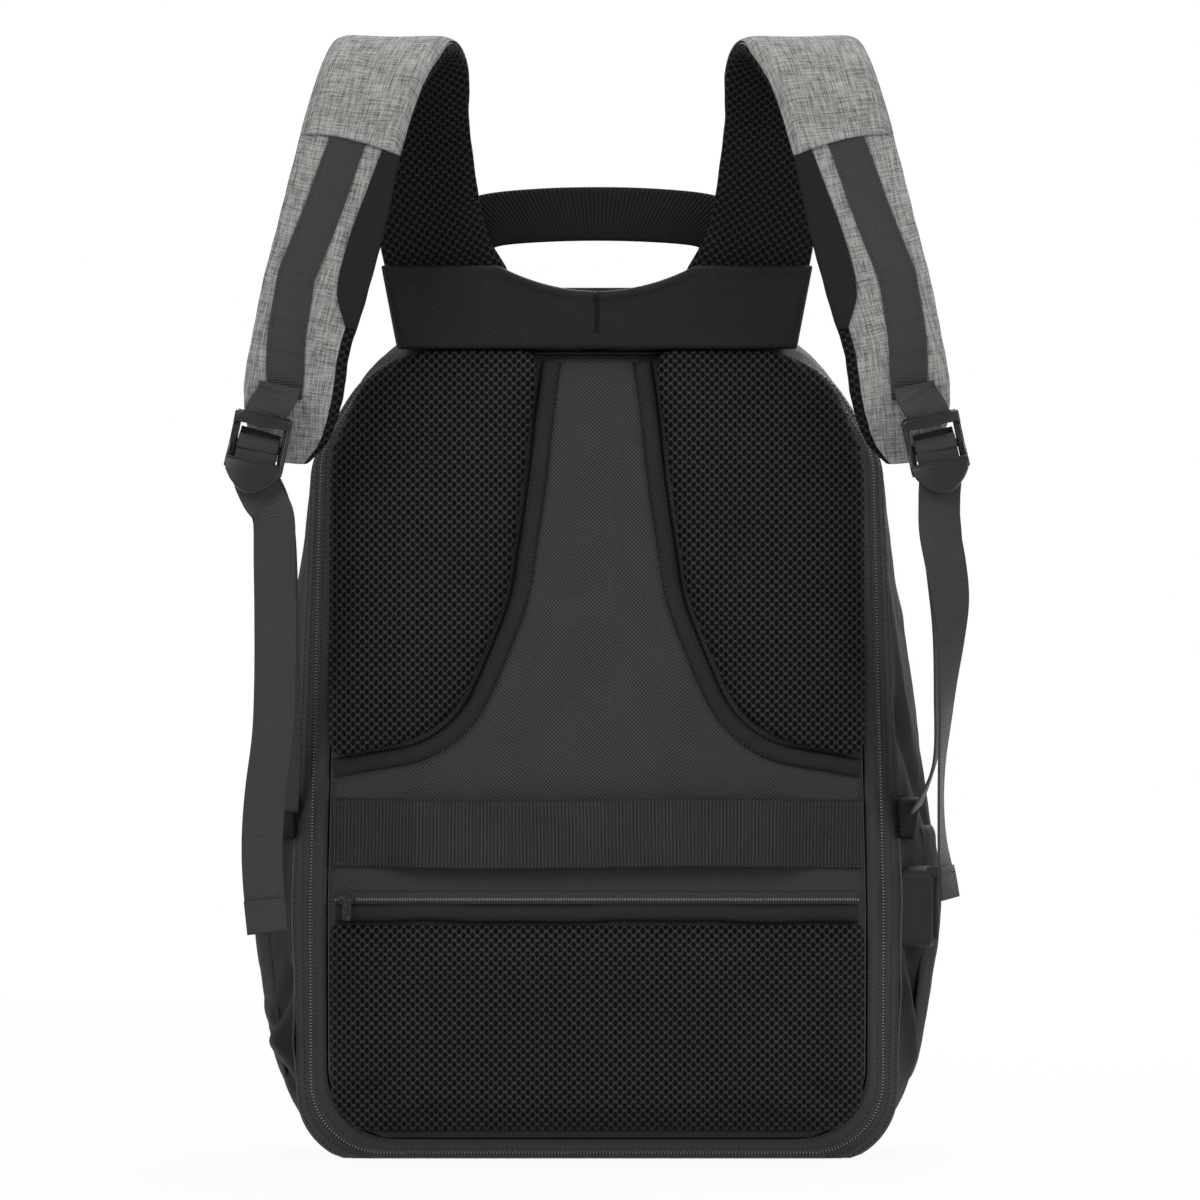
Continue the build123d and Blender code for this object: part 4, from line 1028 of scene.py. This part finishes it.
outer_arch = arch((104, HANDLE_FOOT), (103, 532), (96, 548), (84, 561), (68, 568.5), (36, 572),
                  (0, 573))
inner_arch = arch((71, HANDLE_FOOT), (70.5, 521), (68, 528.5), (64, 534), (57, 538), (32, 540.2),
                  (0, 541))
share = np.linspace(0, 1, 13)
curl = (0.225 * np.cos(2 * math.pi * share)
        - 0.9 * (1 - np.minimum(1, np.minimum(share, 1 - share) * 12)))
rows_front, rows_back = [], []
for a, b in zip(inner_arch, outer_arch):
    line = at_depth(between(a, b, 13), HANDLE_DEPTH)
    half = np.stack([np.zeros(13), HANDLE_T / 2 + curl, np.zeros(13)], 1)
    rows_front.append(line - half)
    rows_back.append(line + half)
handle = slab("handle_webbing", np.array(rows_front), np.array(rows_back), handle_weave)
settle(handle, "handle", "webbing", "grab_handle")


# --------------------------------------------------------------------- shoulder straps
# Shaped foam faced with grey heather and lined with spacer mesh. A black webbing runs
# down the front leg under a seam, beside a wedge of black cloth on the inner edge.
STRAP = eased((
    (90, -9.0, 511, 62, 11), (100, -10, 560, 63, 11), (106, -15, 605, 63, 11),
    (110, -32, 638, 70, 11), (118.5, -56, 650, 67, 11), (130, -79, 634, 61, 11),
    (142, -90, 597, 60, 11), (152.5, -92, 552, 61.5, 11), (163.5, -89, 511, 61, 11),
    (172, -83, 478, 58, 11), (177, -74, 447, 58, 10.5), (179.5, -64, 424, 46, 9),
    (181, -58, 410, 24, 7)), 8)
LEG, FACING_END, WEBBING_END = 6 * 8, 68, 10 * 8
STRAP_FINE, STRAP_SQUARE = 28, 0.55
LAP_ROWS, LAP_SLIP = 26, 1.8


def strap_outline(wide, thick, raised=0.0):
    """Foam section of a strap: crowned outside, flatter inside, rolled edges."""
    spin = np.linspace(0, 2 * math.pi, STRAP_FINE, endpoint=False)
    a, b = np.cos(spin), np.sin(spin)
    x = np.sign(a) * np.abs(a) ** STRAP_SQUARE * wide / 2
    y = np.sign(b) * np.abs(b) ** 0.6 * np.where(b > 0, thick / 2 + raised, thick / 2 + 1.8)
    return np.stack([x, y], 1)


def crown(at, row):
    """Height of the strap's outer face, at a distance across from its middle."""
    wide, thick = STRAP[row, 3:]
    share = np.clip(np.abs(at) / (wide / 2), 0, 0.999)
    return (1 - share ** (2 / STRAP_SQUARE)) ** 0.3 * thick / 2


black_web = ribbed_webbing("black strap webbing", 0.026, 0.052, 1.1, (0.36, 0.5))
for side, word in SIDES:
    spots, across, outward = tread(STRAP[:, :3] * (side, 1, 1))
    sections = []
    for i, (_, _, z, wide, thick) in enumerate(STRAP):
        raised = -0.4 * math.exp(-((i - LEG) / 1.5) ** 2)
        ripple = 0.35 * math.sin(i * 1.7 + side) + 0.25 * math.sin(i * 0.6)
        shape = strap_outline(wide + ripple, thick - 0.5, raised)
        flare = 8.5 * min(1, max(0, 1 - (z - 516) / 26)) ** 1.3 * (i < LEG / 2)
        shape[:, 0] -= side * flare * np.clip(-side * shape[:, 0] / wide * 2, 0, 1)
        sections.append(shape)

    def faced(r, c, shapes, side=side):
        """Finish of a face of the foam: 0 the heather, 1 the spacer mesh."""
        x, y = (shapes[r, c] + shapes[r, (c + 1) % STRAP_FINE]) / 2
        outer = side * x / np.abs(shapes[r, :, 0]).max()       # -1 at the inner edge, 1 at the outer
        if (r >= LEG and outer < -0.8) or (outer < -0.93 and y < 1.2):
            return 1
        return int(y <= -1.6 - 1.4 * (outer > 0))

    foam = swept(f"strap_foam_{word}", spots, sections, [grey_cloth, strap_mesh], paint=faced, level=1)
    settle(foam, "pack", "melange", f"strap_pad_{word}", f"strap_lining_{word}")

    # black webbing down the front leg
    rows = range(LEG, WEBBING_END + 1)
    share = np.linspace(0, 1, len(rows))
    shift = np.interp(share, (0, 0.2, 0.47, 0.73, 1), (1.5, 6.2, 12.2, 9.0, 4.0))
    half = np.interp(share, (0, 0.1, 0.86, 1), (10.4, 10.8, 11.2, 9.6))
    strip_path = np.array([spots[i] + across[i] * side * at + outward[i] * (crown(at, i) + 0.35)
                           for i, at in zip(rows, shift)])
    webbing = swept(f"strap_webbing_{word}_band", strip_path, [band(2 * h, 1.5) for h in half], black_web)
    settle(webbing, "pack", "webbing", f"strap_webbing_{word}")
    edges = [np.array([spot + across[i] * sign * (h - 1.8) + outward[i] * 0.85
                       for spot, i, h in zip(strip_path, rows, half)])[1:] for sign in (-1, 1)]
    for t in (-12, -8, -4):
        tack = strip_path[t] + outward[rows[t]] * 0.9
        edges.append(between(tack - across[rows[t]] * 10, tack + across[rows[t]] * 10, 6))
    beaded(f"strap_webbing_stitches_{word}", "pack", "webbing", edges, 2.8, (0.6, 0.6, 2.2), thread, 21)

    # wedge of smooth black cloth on the inner edge
    rows = range(LEG, FACING_END + 1)
    share = np.linspace(0, 1, len(rows))
    reach = np.interp(share, (0, 0.15, 0.45, 0.78, 0.93, 1), (10, 13, 19, 19, 12, 3))
    reach = np.convolve(np.pad(reach, 2, mode="edge"), np.ones(5) / 5, mode="valid")
    wedge = []
    for i, wide in zip(rows, reach):
        inner = -STRAP[i, 3] / 2 * 0.985
        wedge.append([spots[i] + across[i] * at * side + outward[i] * (crown(at, i) + 0.55)
                      for at in np.linspace(inner + wide, inner, 12)])
    piece = surface(f"strap_wedge_{word}", wedge, shell_cloth, flip=side > 0, thick=0.8, level=1)
    settle(piece, "pack", "coated_tape", f"strap_facing_{word}")

    # the crest laps over the front leg, turned under and topstitched; its seam runs level
    last = LAP_ROWS - 2              # from this row on the lap slips back by up to LAP_SLIP rows
    lap = []
    for k, i in enumerate(range(LEG - LAP_ROWS, LEG + 3)):
        line = []
        for t in np.linspace(-1, 1, 25):
            slip = (0.7 if side * t > 0 else 0.3) * t * t - LAP_SLIP
            at = i + slip * max(0, k - last) / 4
            low = int(at)
            part = at - low
            spot, way, out_way = (run[low] * (1 - part) + run[low + 1] * part
                                  for run in (spots, across, outward))
            across_at = t * STRAP[low, 3] / 2 * 0.99
            lift = 0.1 + 2.0 * min(1, k / 10) - 0.5 * (abs(t) > 0.9)
            line.append(spot + way * across_at + out_way * (crown(across_at, low) + lift))
        lap.append(line)
    lap.append([point - out_way * 1.6 for point in lap[-1]])
    lap = np.array(lap)
    settle(surface(f"strap_crest_{word}", lap, grey_cloth, thick=0.9, level=1), "pack", "melange")
    beaded(f"strap_seam_stitches_{word}", "pack", "melange", [(lap[-4] + (0, -0.35, 0))[1:-1]],
           2.9, (0.5, 0.5, 2.1), thread, 22)


# ------------------------------------------------ ladder locks and the webbing on them
# Moulded acetal ladder locks: deep side rails, two round bars, a bridge over the upper
# fold of webbing and a thumb tab in front of the lower one. Each hangs on a short loop.
acetal = Finish("black acetal", Specular_IOR_Level=0.42)
haze, spark = acetal.cloud(0.12, 4), acetal.cloud(2.2, 2)
acetal.colour(haze * 0.7 + spark * 0.3, (0.005, 0.0052, 0.0056), (0.014, 0.0144, 0.0154))
acetal.rough(haze * 0.6 + spark * 0.4, 0.18, 0.34)
acetal = acetal.relief(spark + haze, 0.035)

BUCKLE_AT, TILT, TAB_TILT = np.array((198.0, -84.0, 413.0)), math.radians(12), math.radians(14)
BAR_R, BAR_UP, MID_UP, FRAME_T = 2.5, 22.5, 5.5, 6.0
BAR_HALF, CHEEK_AT = 15.5, 15.9
BAND, BAND_T, ROLL_R = 24.0, 1.5, 5.4                 # the webbing and the tail's loose roll
# Outlines of the lock's plates, as (across, up) from its middle; cheeks as (up, out)
FORK = rounded([(-17, 24), (-12.7, 24), (-12.7, -8.2), (12.7, -8.2), (12.7, 24), (17, 24), (17, -8),
                (11, -13), (-11, -13), (-17, -8)],
               (1.2, 1.2, 2.5, 2.5, 1.2, 1.2, 3, 3, 3, 3), closed=True, fine=5)
BRIDGE = rounded([(-17, 17.6), (17, 17.6), (17, 24.3), (-17, 24.3)], (1.2, 1.2, 5, 5),
                 closed=True, fine=6)
TAB = [(17, -2.5), (15.4, -7), (12.2, -11.6), (8, -15.6), (3.4, -18.2)]
TAB = rounded([(-16.8, 1), (16.8, 1), *TAB, (0, -18.7), *((-x, y) for x, y in TAB[::-1])],
              (1,) * 2 + (3,) * 11, closed=True, fine=3)
INNER_CHEEK = [(24, 2), (24, 7.3), (18, 7.4), (4, 9.6), (-4.4, 12.6), (-9.2, 13.8), (-9.2, 2)]
OUTER_CHEEK = [(7, 2), (-4.4, 12.4), (-9.2, 13.6), (-9.2, 2)]
CHEEK_TOP = [(24, 2), (24, 7.3), (18, 7.3), (15, 2)]


def plate(name, outline, thick, bevel, origin, across, up, out):
    """A moulded acetal plate with rounded edges, from its outline (across, up) in mm."""
    flat = bpy.data.curves.new(name, "CURVE")
    flat.dimensions, flat.fill_mode = "2D", "BOTH"
    flat.extrude, flat.bevel_depth, flat.bevel_resolution = (thick / 2 - bevel) / 1000, bevel / 1000, 2
    flat.offset = -bevel / 1000
    run = flat.splines.new("POLY")
    run.points.add(len(outline) - 1)
    for point, (a, b) in zip(run.points, outline):
        point.co = (a / 1000, b / 1000, 0, 1)
    run.use_cyclic_u = True
    piece = shown(name, flat)
    mesh = bpy.data.meshes.new_from_object(piece.evaluated_get(bpy.context.evaluated_depsgraph_get()))
    bpy.data.objects.remove(piece)
    points = np.array([v.co for v in mesh.vertices]) * 1000
    moved = origin + points[:, :1] * across + points[:, 1:2] * up + points[:, 2:] * out
    mesh.vertices.foreach_set("co", place(moved).astype(np.float32).ravel())
    mesh.materials.clear()
    return dressed(name, cleaned(mesh, 1e-6), acetal)


def joined(name, pieces):
    """Several meshes made one piece."""
    whole = bmesh.new()
    finishes = list(pieces[0].data.materials)
    for piece in pieces:
        whole.from_mesh(piece.data)
    mesh = bpy.data.meshes.new(name)
    whole.to_mesh(mesh)
    whole.free()
    for piece in pieces:
        bpy.data.objects.remove(piece)
    return dressed(name, mesh, finishes)


def circle(radius, count=20):
    spin = np.linspace(0, 2 * math.pi, count, endpoint=False)
    return radius * np.stack([np.cos(spin), np.sin(spin)], 1)


web_face = ribbed_webbing("tail webbing", 0.026, 0.05, 1.0, (0.4, 0.55))
TAILS = {                        # by side: x, depth, z and the turn about its length in degrees
    "left": ((199.0, -90.4, 408, 0), (199.0, -90.3, 400, 0), (194.2, -90.6, 389, -3),
             (187.8, -91.2, 378, -4), (187, -91.8, 350, -3), (186.6, -92, 315, 0), (186.8, -92, 280, 3),
             (188.2, -91.6, 250, 7), (192.4, -91.2, 217, 8), (194.2, -91, 190, 8),
             (193.6, -90.6, 165, 10), (190.8, -90, 136, 12)),
    "right": ((198.8, -90.4, 408, 0), (199.4, -90.3, 399, 0), (198.8, -90.6, 389, -3),
              (199, -91.2, 370, -4), (202.4, -91.6, 350, -10), (205.4, -91.4, 329, -28),
              (205.4, -91, 306, -49), (203.6, -90.6, 282, -63), (202, -90.4, 258, -73),
              (200.2, -90.2, 235, -80), (199.6, -90, 212, -82), (200.4, -90, 190, -78),
              (202.6, -89.6, 170, -68), (204.2, -89, 156, -64)),
}
LOADS = {                        # the same for the load webbing, below the lock
    "left": ((190.5, -76, 385, 0), (187, -67, 360, 0), (186, -38, 290, 0), (186.5, -10, 234, 0),
             (188, 3, 205, 0)),
    "right": ((199, -76, 385, -6), (202, -66, 356, -22), (203, -50, 320, -52), (201.6, -32, 280, -70),
              (199.2, -10, 236, -80), (188, 3, 206, -70)),
}
ANCHOR = np.array([(177, 213), (191, 213), (188, 188), (178, 188)])
ANCHOR_FACE, ANCHOR_BACK = 4.5, 33.0
ANCHOR_SEWN = (179, 210), (188, 210), (186, 191), (180, 191)


def webbing_run(name, points, turn=None, wide=BAND, thick=BAND_T, finish=web_face, out=None):
    """Webbing along a path; with an outward way given, it is folded flat round that way."""
    section = band(wide, thick)
    return swept(name, points, section if out is None else section[:, ::-1], finish, out=out, turn=turn)


for side, word in SIDES:
    centre = BUCKLE_AT * (side, 1, 1)
    across = np.array((math.cos(TILT), 0, side * math.sin(TILT)))
    up = np.array((-side * math.sin(TILT), 0, math.cos(TILT)))
    out = np.array(OUT, float)
    parts = [plate(f"fork_{word}", FORK, FRAME_T, 1.1, centre, across, up, out),
             plate(f"bridge_{word}", BRIDGE, 2.4, 0.9, centre + out * 6.2, across, up, out)]
    tab_foot = centre - up * 4.4 + out * 10.6
    tab_out = out * math.cos(TAB_TILT) + up * math.sin(TAB_TILT)
    tab_up = up * math.cos(TAB_TILT) - out * math.sin(TAB_TILT)
    parts.append(plate(f"tab_{word}", TAB, 2.4, 0.9, tab_foot + tab_out * 1.2, across, tab_up, tab_out))
    lip = np.array([tab_foot + tab_out * 2.2 + across * x + tab_up * y
                    for x, y in ((-16.2, 0.2), (-8, 0.5), (8, 0.5), (16.2, 0.2))])
    parts.append(swept(f"lip_{word}", eased(lip, 4), circle(0.9, 10), acetal, out=out))
    for way, shape in ((-side, INNER_CHEEK), (side, OUTER_CHEEK), (side, CHEEK_TOP)):
        edge = rounded(shape, [1.0] * len(shape), closed=True, fine=3)
        foot = centre + across * way * CHEEK_AT
        parts.append(plate(f"cheek_{word}", edge, 2.2, 0.6, foot, up, out, across))
    for lift in (BAR_UP, MID_UP):
        middle = centre + up * lift
        line = between(middle - across * BAR_HALF, middle + across * BAR_HALF, 12)
        parts.append(swept(f"bar_{word}", line, circle(BAR_R), acetal, out=out))
    settle(joined(f"ladder_lock_{word}", parts), f"buckle_{word}", "buckle_plastic", f"buckle_{word}")

    # two layers of webbing folded round the top bar
    ring = BAR_R + 1.2
    wrap = ((21, 2.7), (14, 2.9), (8, 3.4), (4, 3.8),
            *((ring * math.cos(t), ring * math.sin(t)) for t in np.radians(np.linspace(62, 298, 26))),
            (4, -3.5), (8, -2.3), (14, -0.5), (21, 0.9))
    line = []
    for a, b in spaced(wrap, 44):
        lean = min(1, max(0, a - 1) / 17)
        line.append(centre + up * (BAR_UP + a) + out * b - across * side * 5 * lean**2 * (3 - 2 * lean))
    loop = webbing_run(f"lock_loop_{word}", line, finish=black_web, out=across)
    settle(loop, "pack", "webbing", f"buckle_loop_{word}")

    # the free tail: over the middle bar as a loose roll, then down behind the tab
    roll = np.array([centre + up * (MID_UP + ROLL_R * math.cos(t)) + out * (ROLL_R * math.sin(t))
                     for t in np.radians(np.linspace(-118, 118, 26))])
    over = webbing_run(f"tail_roll_{word}", roll, wide=BAND + 0.4, thick=1.7, out=across)
    way = np.array(TAILS[word]) * (side, 1, 1, 1)
    hung = spaced(eased(np.vstack([[*roll[-1], way[0, 3]], way]), 10), 130)
    line, turn = hung[:, :3], np.radians(hung[:, 3])
    tail = webbing_run(f"strap_tail_{word}", line, turn, BAND + 0.4)
    _, wide_way, face_way = tread(line, turn=turn)
    hem_run = line[-10:] + face_way[-10:] * 1.2
    hem = webbing_run(f"tail_hem_{word}", hem_run, turn[-10:], BAND + 0.6, 1.3)
    whole = joined(f"strap_tail_webbing_{word}", [over, tail, hem])
    settle(whole, f"tail_{word}", "webbing", f"tail_{word}")
    tack = hem_run[2] + face_way[-8] * 0.8
    beaded(f"tail_stitches_{word}", f"tail_{word}", "webbing",
           [between(tack - wide_way[-8] * 10.5, tack + wide_way[-8] * 10.5, 6)],
           2.4, (0.6, 0.6, 1.9), thread, 31)

    # the load webbing: from behind the lock down to its anchor on the gusset
    high, top = centre + up * 15, centre - up * 6
    way = ((high[0] * side, -79.4, high[2], 0), (top[0] * side, -79, top[2], 0), *LOADS[word])
    load = spaced(eased(np.array(way) * (side, 1, 1, 1), 14), 90)
    pull = webbing_run(f"load_webbing_band_{word}", load[:, :3], np.radians(load[:, 3]))
    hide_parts(f"load_webbing_{word}")
    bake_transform(pull)

    # anchor: a folded triangle of nylon sewn into the gusset seam
    grid_front, grid_back = [], []
    puff = 1.6 * np.sin(math.pi * np.linspace(0, 1, 9))
    for a, b, swell in zip(between(ANCHOR[0], ANCHOR[3], 9), between(ANCHOR[1], ANCHOR[2], 9), puff):
        flat = between(a, b, 9) * (side, 1)
        grid_back.append(at_depth(flat, ANCHOR_BACK))
        grid_front.append(at_depth(flat, ANCHOR_FACE))
        grid_front[-1][:, 1] -= swell * puff / 1.6
    tab = slab(f"anchor_cloth_{word}", np.array(grid_front), np.array(grid_back), shell_cloth)
    settle(tab, "pack", "ballistic", f"anchor_tab_{word}")
    lines = [at_depth(between(a, b, 6) * (side, 1), ANCHOR_FACE - 1.6)
             for a, b in zip(ANCHOR_SEWN, ANCHOR_SEWN[1:] + ANCHOR_SEWN[:1])]
    beaded(f"anchor_stitches_{word}", "pack", "ballistic", lines, 2.6, (0.6, 0.6, 2.0), dark_thread, 33)


# ------------------------------------------------------------- side pockets and piping
# Slip pockets of the shell cloth lie on the gussets under an elastic hem, and a corded
# piping covers the seam between the gussets and the grey front.
POCKET_DEPTH, POCKET_LOW, POCKET_HIGH, POCKET_SLACK = (39.5, 111.5), 44, 196, 1.06
for side, word in SIDES:
    heights = np.linspace(POCKET_LOW, POCKET_HIGH, 40)
    columns = []
    for depth in np.linspace(*POCKET_DEPTH, 19):
        ring = bag_ring(depth)
        flank = ring[ring[:, 0] > 100]
        flat = np.stack([np.interp(heights, flank[:, 1], flank[:, 0]), heights], 1)
        columns.append(at_depth(flat, depth))
    rows = np.array(columns)
    far = from_edges(rows)
    lift = 1.3 + 1.5 * np.clip(far / 20, 0, 1) + 0.8 * puckered(rows, 41 + side, 0.7, 46, 0.6)
    hem = np.exp(-((rows[..., 2] - POCKET_HIGH + 5) / 4.5) ** 2)
    rows[..., 0] += lift + 0.9 * hem * (1 + 0.6 * np.sin(rows[..., 1] * 2.1))
    pocket = surface(f"side_pocket_cloth_{word}", rows if side > 0 else mirrored(rows), shell_cloth,
                     flip=side > 0, thick=1.4, level=1)
    wide, high = POCKET_DEPTH[1] - POCKET_DEPTH[0], POCKET_HIGH - POCKET_LOW
    wide * POCKET_SLACK / 1000
    high * POCKET_SLACK / 1000
    settle(pocket, "pack", "shell_fabric", f"side_pocket_{word}")


def seam_round(depth, lowest):
    """The run of the bag's outline at a depth, down to the lowest z on both sides."""
    half = spaced(bag_ring(depth), 110)
    return at_depth(both_sides(half[half[:, 1] > lowest], closed=False), depth)


settle(swept("front_piping_cord", seam_round(SEAM_DEPTH, 1.2), circle(2.3, 14), bound_edge, out=OUT),
       "pack", "binding", "front_piping")
for name, away in (("gusset_seam_stitches", -6.5), ("front_seam_stitches", 6.5)):
    line = seam_round(SEAM_DEPTH + away, 2) * (1.0022, 1, 1) + (0, 0, 0.25)
    beaded(name, "pack", "shell_fabric", [line], 3.2, (0.6, 0.6, 2.4), thread, 44, up=(0, 1, 0))


# -------------------------------------------------------------------- charging outlet
# A soft moulded housing on the right gusset with a hinged dust cover over a socket.
def flecked(name, tint, gloss, deep, fine=(1, 1, 1), detail=4, rough=0.5, edge=None, **constants):
    """A finish of one noise over the frame for tint, gloss and relief; edge sharpens the tint."""
    made = Finish(name, **constants)
    fleck = made.grain(*(way * k for way, k in zip(made.spot("Object"), fine)), detail, rough)
    made.colour(fleck.step(*edge) if edge else fleck, *tint)
    made.rough(fleck, *gloss)
    return made.relief(fleck, deep)


rubber = Finish("moulded rubber", Specular_IOR_Level=0.25)
bloom, grit = rubber.cloud(0.1, 4), rubber.cloud(3, 2)
rubber.colour(bloom, 0.007, 0.017)
rubber.rough(bloom * 0.5 + grit * 0.5, 0.38, 0.58)
rubber = rubber.relief(grit, 0.05)
plated = flecked("plated steel", (0.42, 0.6), (0.24, 0.42), 0.02, (0.2, 4, 0.2), 3,
                 Metallic=1.0, Specular_IOR_Level=0.5)
black_metal = flecked("black plated metal", (0.03, 0.11), (0.28, 0.5), 0.04, (0.6,) * 3, 5, 0.7,
                      (0.42, 0.75), Metallic=1.0, Specular_IOR_Level=0.5)
repaint(rubber, "usb_boot", "usb_cover")
repaint(plated, "usb_socket")
repaint(black_metal, "zip_slider_left", "zip_slider_right", "zip_pull_left", "zip_pull_right",
        "pocket_slider", "pocket_pull")


# ------------------------------------------------------------------------ solar panel
# Dark silicon cells with fine silver fingers under a clear sheet, in a rubber frame
# welded to the grey front; its junction box sits behind it inside the bag.
FINGER_PITCH, BUSBAR_PITCH = 1.5, 26.0
cell = Finish("silicon cells", Specular_IOR_Level=0.6, Coat_Weight=0.3, Coat_Roughness=0.1)
x, _, z = cell.spot("Object")
finger = ((z / FINGER_PITCH).part() - 0.5).size().step(0.44, 0.47)
busbar = (((x + 1.5) / BUSBAR_PITCH).part() - 0.5).size().step(0.465, 0.475)
crystal = cell.grain(x * 0.05, z * 0.05, detail=3)
lines = (finger * 0.35).most(busbar * 0.9)
cell.colour(lines, cell.mix(crystal, (0.006, 0.010, 0.032), (0.010, 0.018, 0.06)), (0.42, 0.43, 0.45))
cell.rough(crystal, 0.18, 0.3)
cell = cell.relief(lines, 0.03)
clear = flecked("clear cover sheet", (0.86, 0.97), (0.03, 0.12), 0.05, (0.03,) * 3, 5,
                IOR=1.45, Transmission_Weight=1.0, Specular_IOR_Level=0.5)
backing = flecked("solar backing sheet", (0.012, 0.03), (0.4, 0.6), 0.05, (0.8,) * 3,
                  Specular_IOR_Level=0.4)
for finish, node in ((cell, "solar_cells"), (clear, "solar_cover"), (backing, "solar_board"),
                     (rubber, "solar_frame"), (acetal, "junction_box")):
    repaint(finish, node)
frame_line = rounded([(-97.5, 77.5), (97.5, 77.5), (97.5, 372.5), (-97.5, 372.5)], (9,) * 4,
                     closed=True, fine=6)
frame_line = at_depth(np.vstack([frame_line, frame_line[:1]]), FRONT_DEPTH + 6.0)
beaded("solar_frame_stitches", "pack", "moulded_rubber", [frame_line], 3.4, (0.7, 0.7, 2.5), thread, 51,
       0.06, (0, 1, 0))


# ------------------------------------------------------------------ pockets inside
# A laptop sleeve behind the board and two slip pockets on the front wall, of grey lining
# cloth with bound upper edges; they belly out a little where nothing holds them.
def inner_pocket(name, node, body, x, half, z_low, z_high, d_wall, d_face, seed, mouth):
    """An open topped pocket: its face and both sides, from wall to face and back."""
    rows = []
    for z in np.linspace(z_low, z_high, 34):
        t = (z - z_low) / (z_high - z_low)
        left, right = x - half, x + half
        corners = (left, d_wall), (left, d_face), (right, d_face), (right, d_wall)
        line = spaced(rounded(corners, (6, 6), fine=4), 60)
        share = np.clip(np.minimum(line[:, 0] - left, right - line[:, 0]) / half, 0, 1)
        belly = (0.4 * math.sin(math.pi * t) + mouth * t**3) * np.sin(share * math.pi / 2)
        line[:, 1] += np.sign(d_wall - d_face) * belly
        rows.append(np.stack([line[:, 0], line[:, 1], np.full(60, z)], 1))
    rows = np.array(rows)
    lift = 0.35 * puckered(rows, seed, 0.8, 50, 0.4, edges=(0, 1, 1, 1))
    rows[..., 1] += np.sign(d_wall - d_face) * np.abs(lift)
    cloth = surface(name, rows, lining_cloth, flip=d_face > d_wall, thick=1.2)
    settle(cloth, body, "lining", node)
    hem = swept(name + "_hem", rows[-1, 2:-2], dome(4.5, 1.4, -0.2), bound_edge, out=(0, 0, 1))
    settle(hem, body, "binding")


inner_pocket("laptop_sleeve_cloth", "laptop_sleeve", "back_panel", 0, 134, 40, 329, -3.4, 17.2, 61, -1.0)
inner_pocket("organiser_cloth", "organiser_pocket", "pack", 0, 105, 62, 229, 159.2, 140.6, 62, -0.8)
inner_pocket("battery_cloth", "battery_pocket", "pack", 54, 43, 72, 189, 139.4, 122.8, 63, -0.6)


# ------------------------------------------------------------------------- stage
# A pale floor and an even light, with a long lens square on to the harness side.
def stage_finish(name, share):
    """Pale matt paint that the camera and reflections see mostly as plain white."""
    paint = Finish(name, Roughness=0.9, Base_Color=(0.6, 0.6, 0.6, 1))
    tree = paint.tree
    path = tree.nodes.new("ShaderNodeLightPath")
    glow = tree.nodes.new("ShaderNodeEmission")
    mix = tree.nodes.new("ShaderNodeMixShader")
    seen = Signal(tree, path.outputs["Is Camera Ray"]).most(Signal(tree, path.outputs["Is Glossy Ray"]))
    seen = seen.most(Signal(tree, path.outputs["Is Transmission Ray"]))
    tree.links.new((seen * share).source, mix.inputs[0])
    tree.links.new(paint.shader.outputs[0], mix.inputs[1])
    tree.links.new(glow.outputs[0], mix.inputs[2])
    tree.links.new(mix.outputs[0], tree.nodes["Material Output"].inputs[0])
    return paint.material


floor_mesh = bpy.data.meshes.new("floor")
floor_mesh.from_pydata([(x, y, -0.0006) for x, y in ((-2.5, -2.2), (2.5, -2.2), (2.5, 2.2), (-2.5, 2.2))],
                       [], [(0, 1, 2, 3)])
floor_mesh.materials.append(stage_finish("floor paint", 0.93))
shown("floor", floor_mesh)

world = bpy.data.worlds.new("sky")
world.use_nodes = True
bpy.context.scene.world = world
sky = world.node_tree
back = sky.nodes["Background"]
back.inputs["Color"].default_value = (1, 1, 1, 1)
light_path = sky.nodes.new("ShaderNodeLightPath")
through = Signal(sky, light_path.outputs["Is Transmission Ray"])
seen = Signal(sky, light_path.outputs["Is Camera Ray"]).most(through)
sky.links.new((seen * 0.45 + 0.55).source, back.inputs["Strength"])

LAMPS = (                        # name, place, size, watts
    ("key", (-1.5, -2.3, 2.1), 1.5, 46),
    ("fill", (1.9, -1.9, 1.0), 1.6, 24),
    ("crown", (0.2, 0.6, 2.4), 1.4, 26),
    ("back", (0.6, 2.4, 1.4), 1.8, 34),
)
for name, where, size, watts in LAMPS:
    lamp = bpy.data.lights.new(name, "AREA")
    lamp.size, lamp.energy = size, watts
    stand = shown(name, lamp)
    stand.location = where
    stand.rotation_euler = (Vector((0, 0, 0.3)) - Vector(where)).to_track_quat("-Z", "Y").to_euler()

camera = shown("camera", bpy.data.cameras.new("camera"))
VIEW_WIDE, VIEW_FAR, SENSOR = 0.7059, 6.0, 36
camera.data.sensor_width = SENSOR
camera.data.lens = SENSOR * VIEW_FAR / VIEW_WIDE
camera.data.clip_start, camera.data.clip_end = 0.5, 60
camera.location = (0.0018, -0.09 - VIEW_FAR, 0.3294)
camera.rotation_euler = (math.pi / 2, 0, 0)
bpy.context.scene.camera = camera
bpy.context.scene.view_settings.view_transform = "Standard"
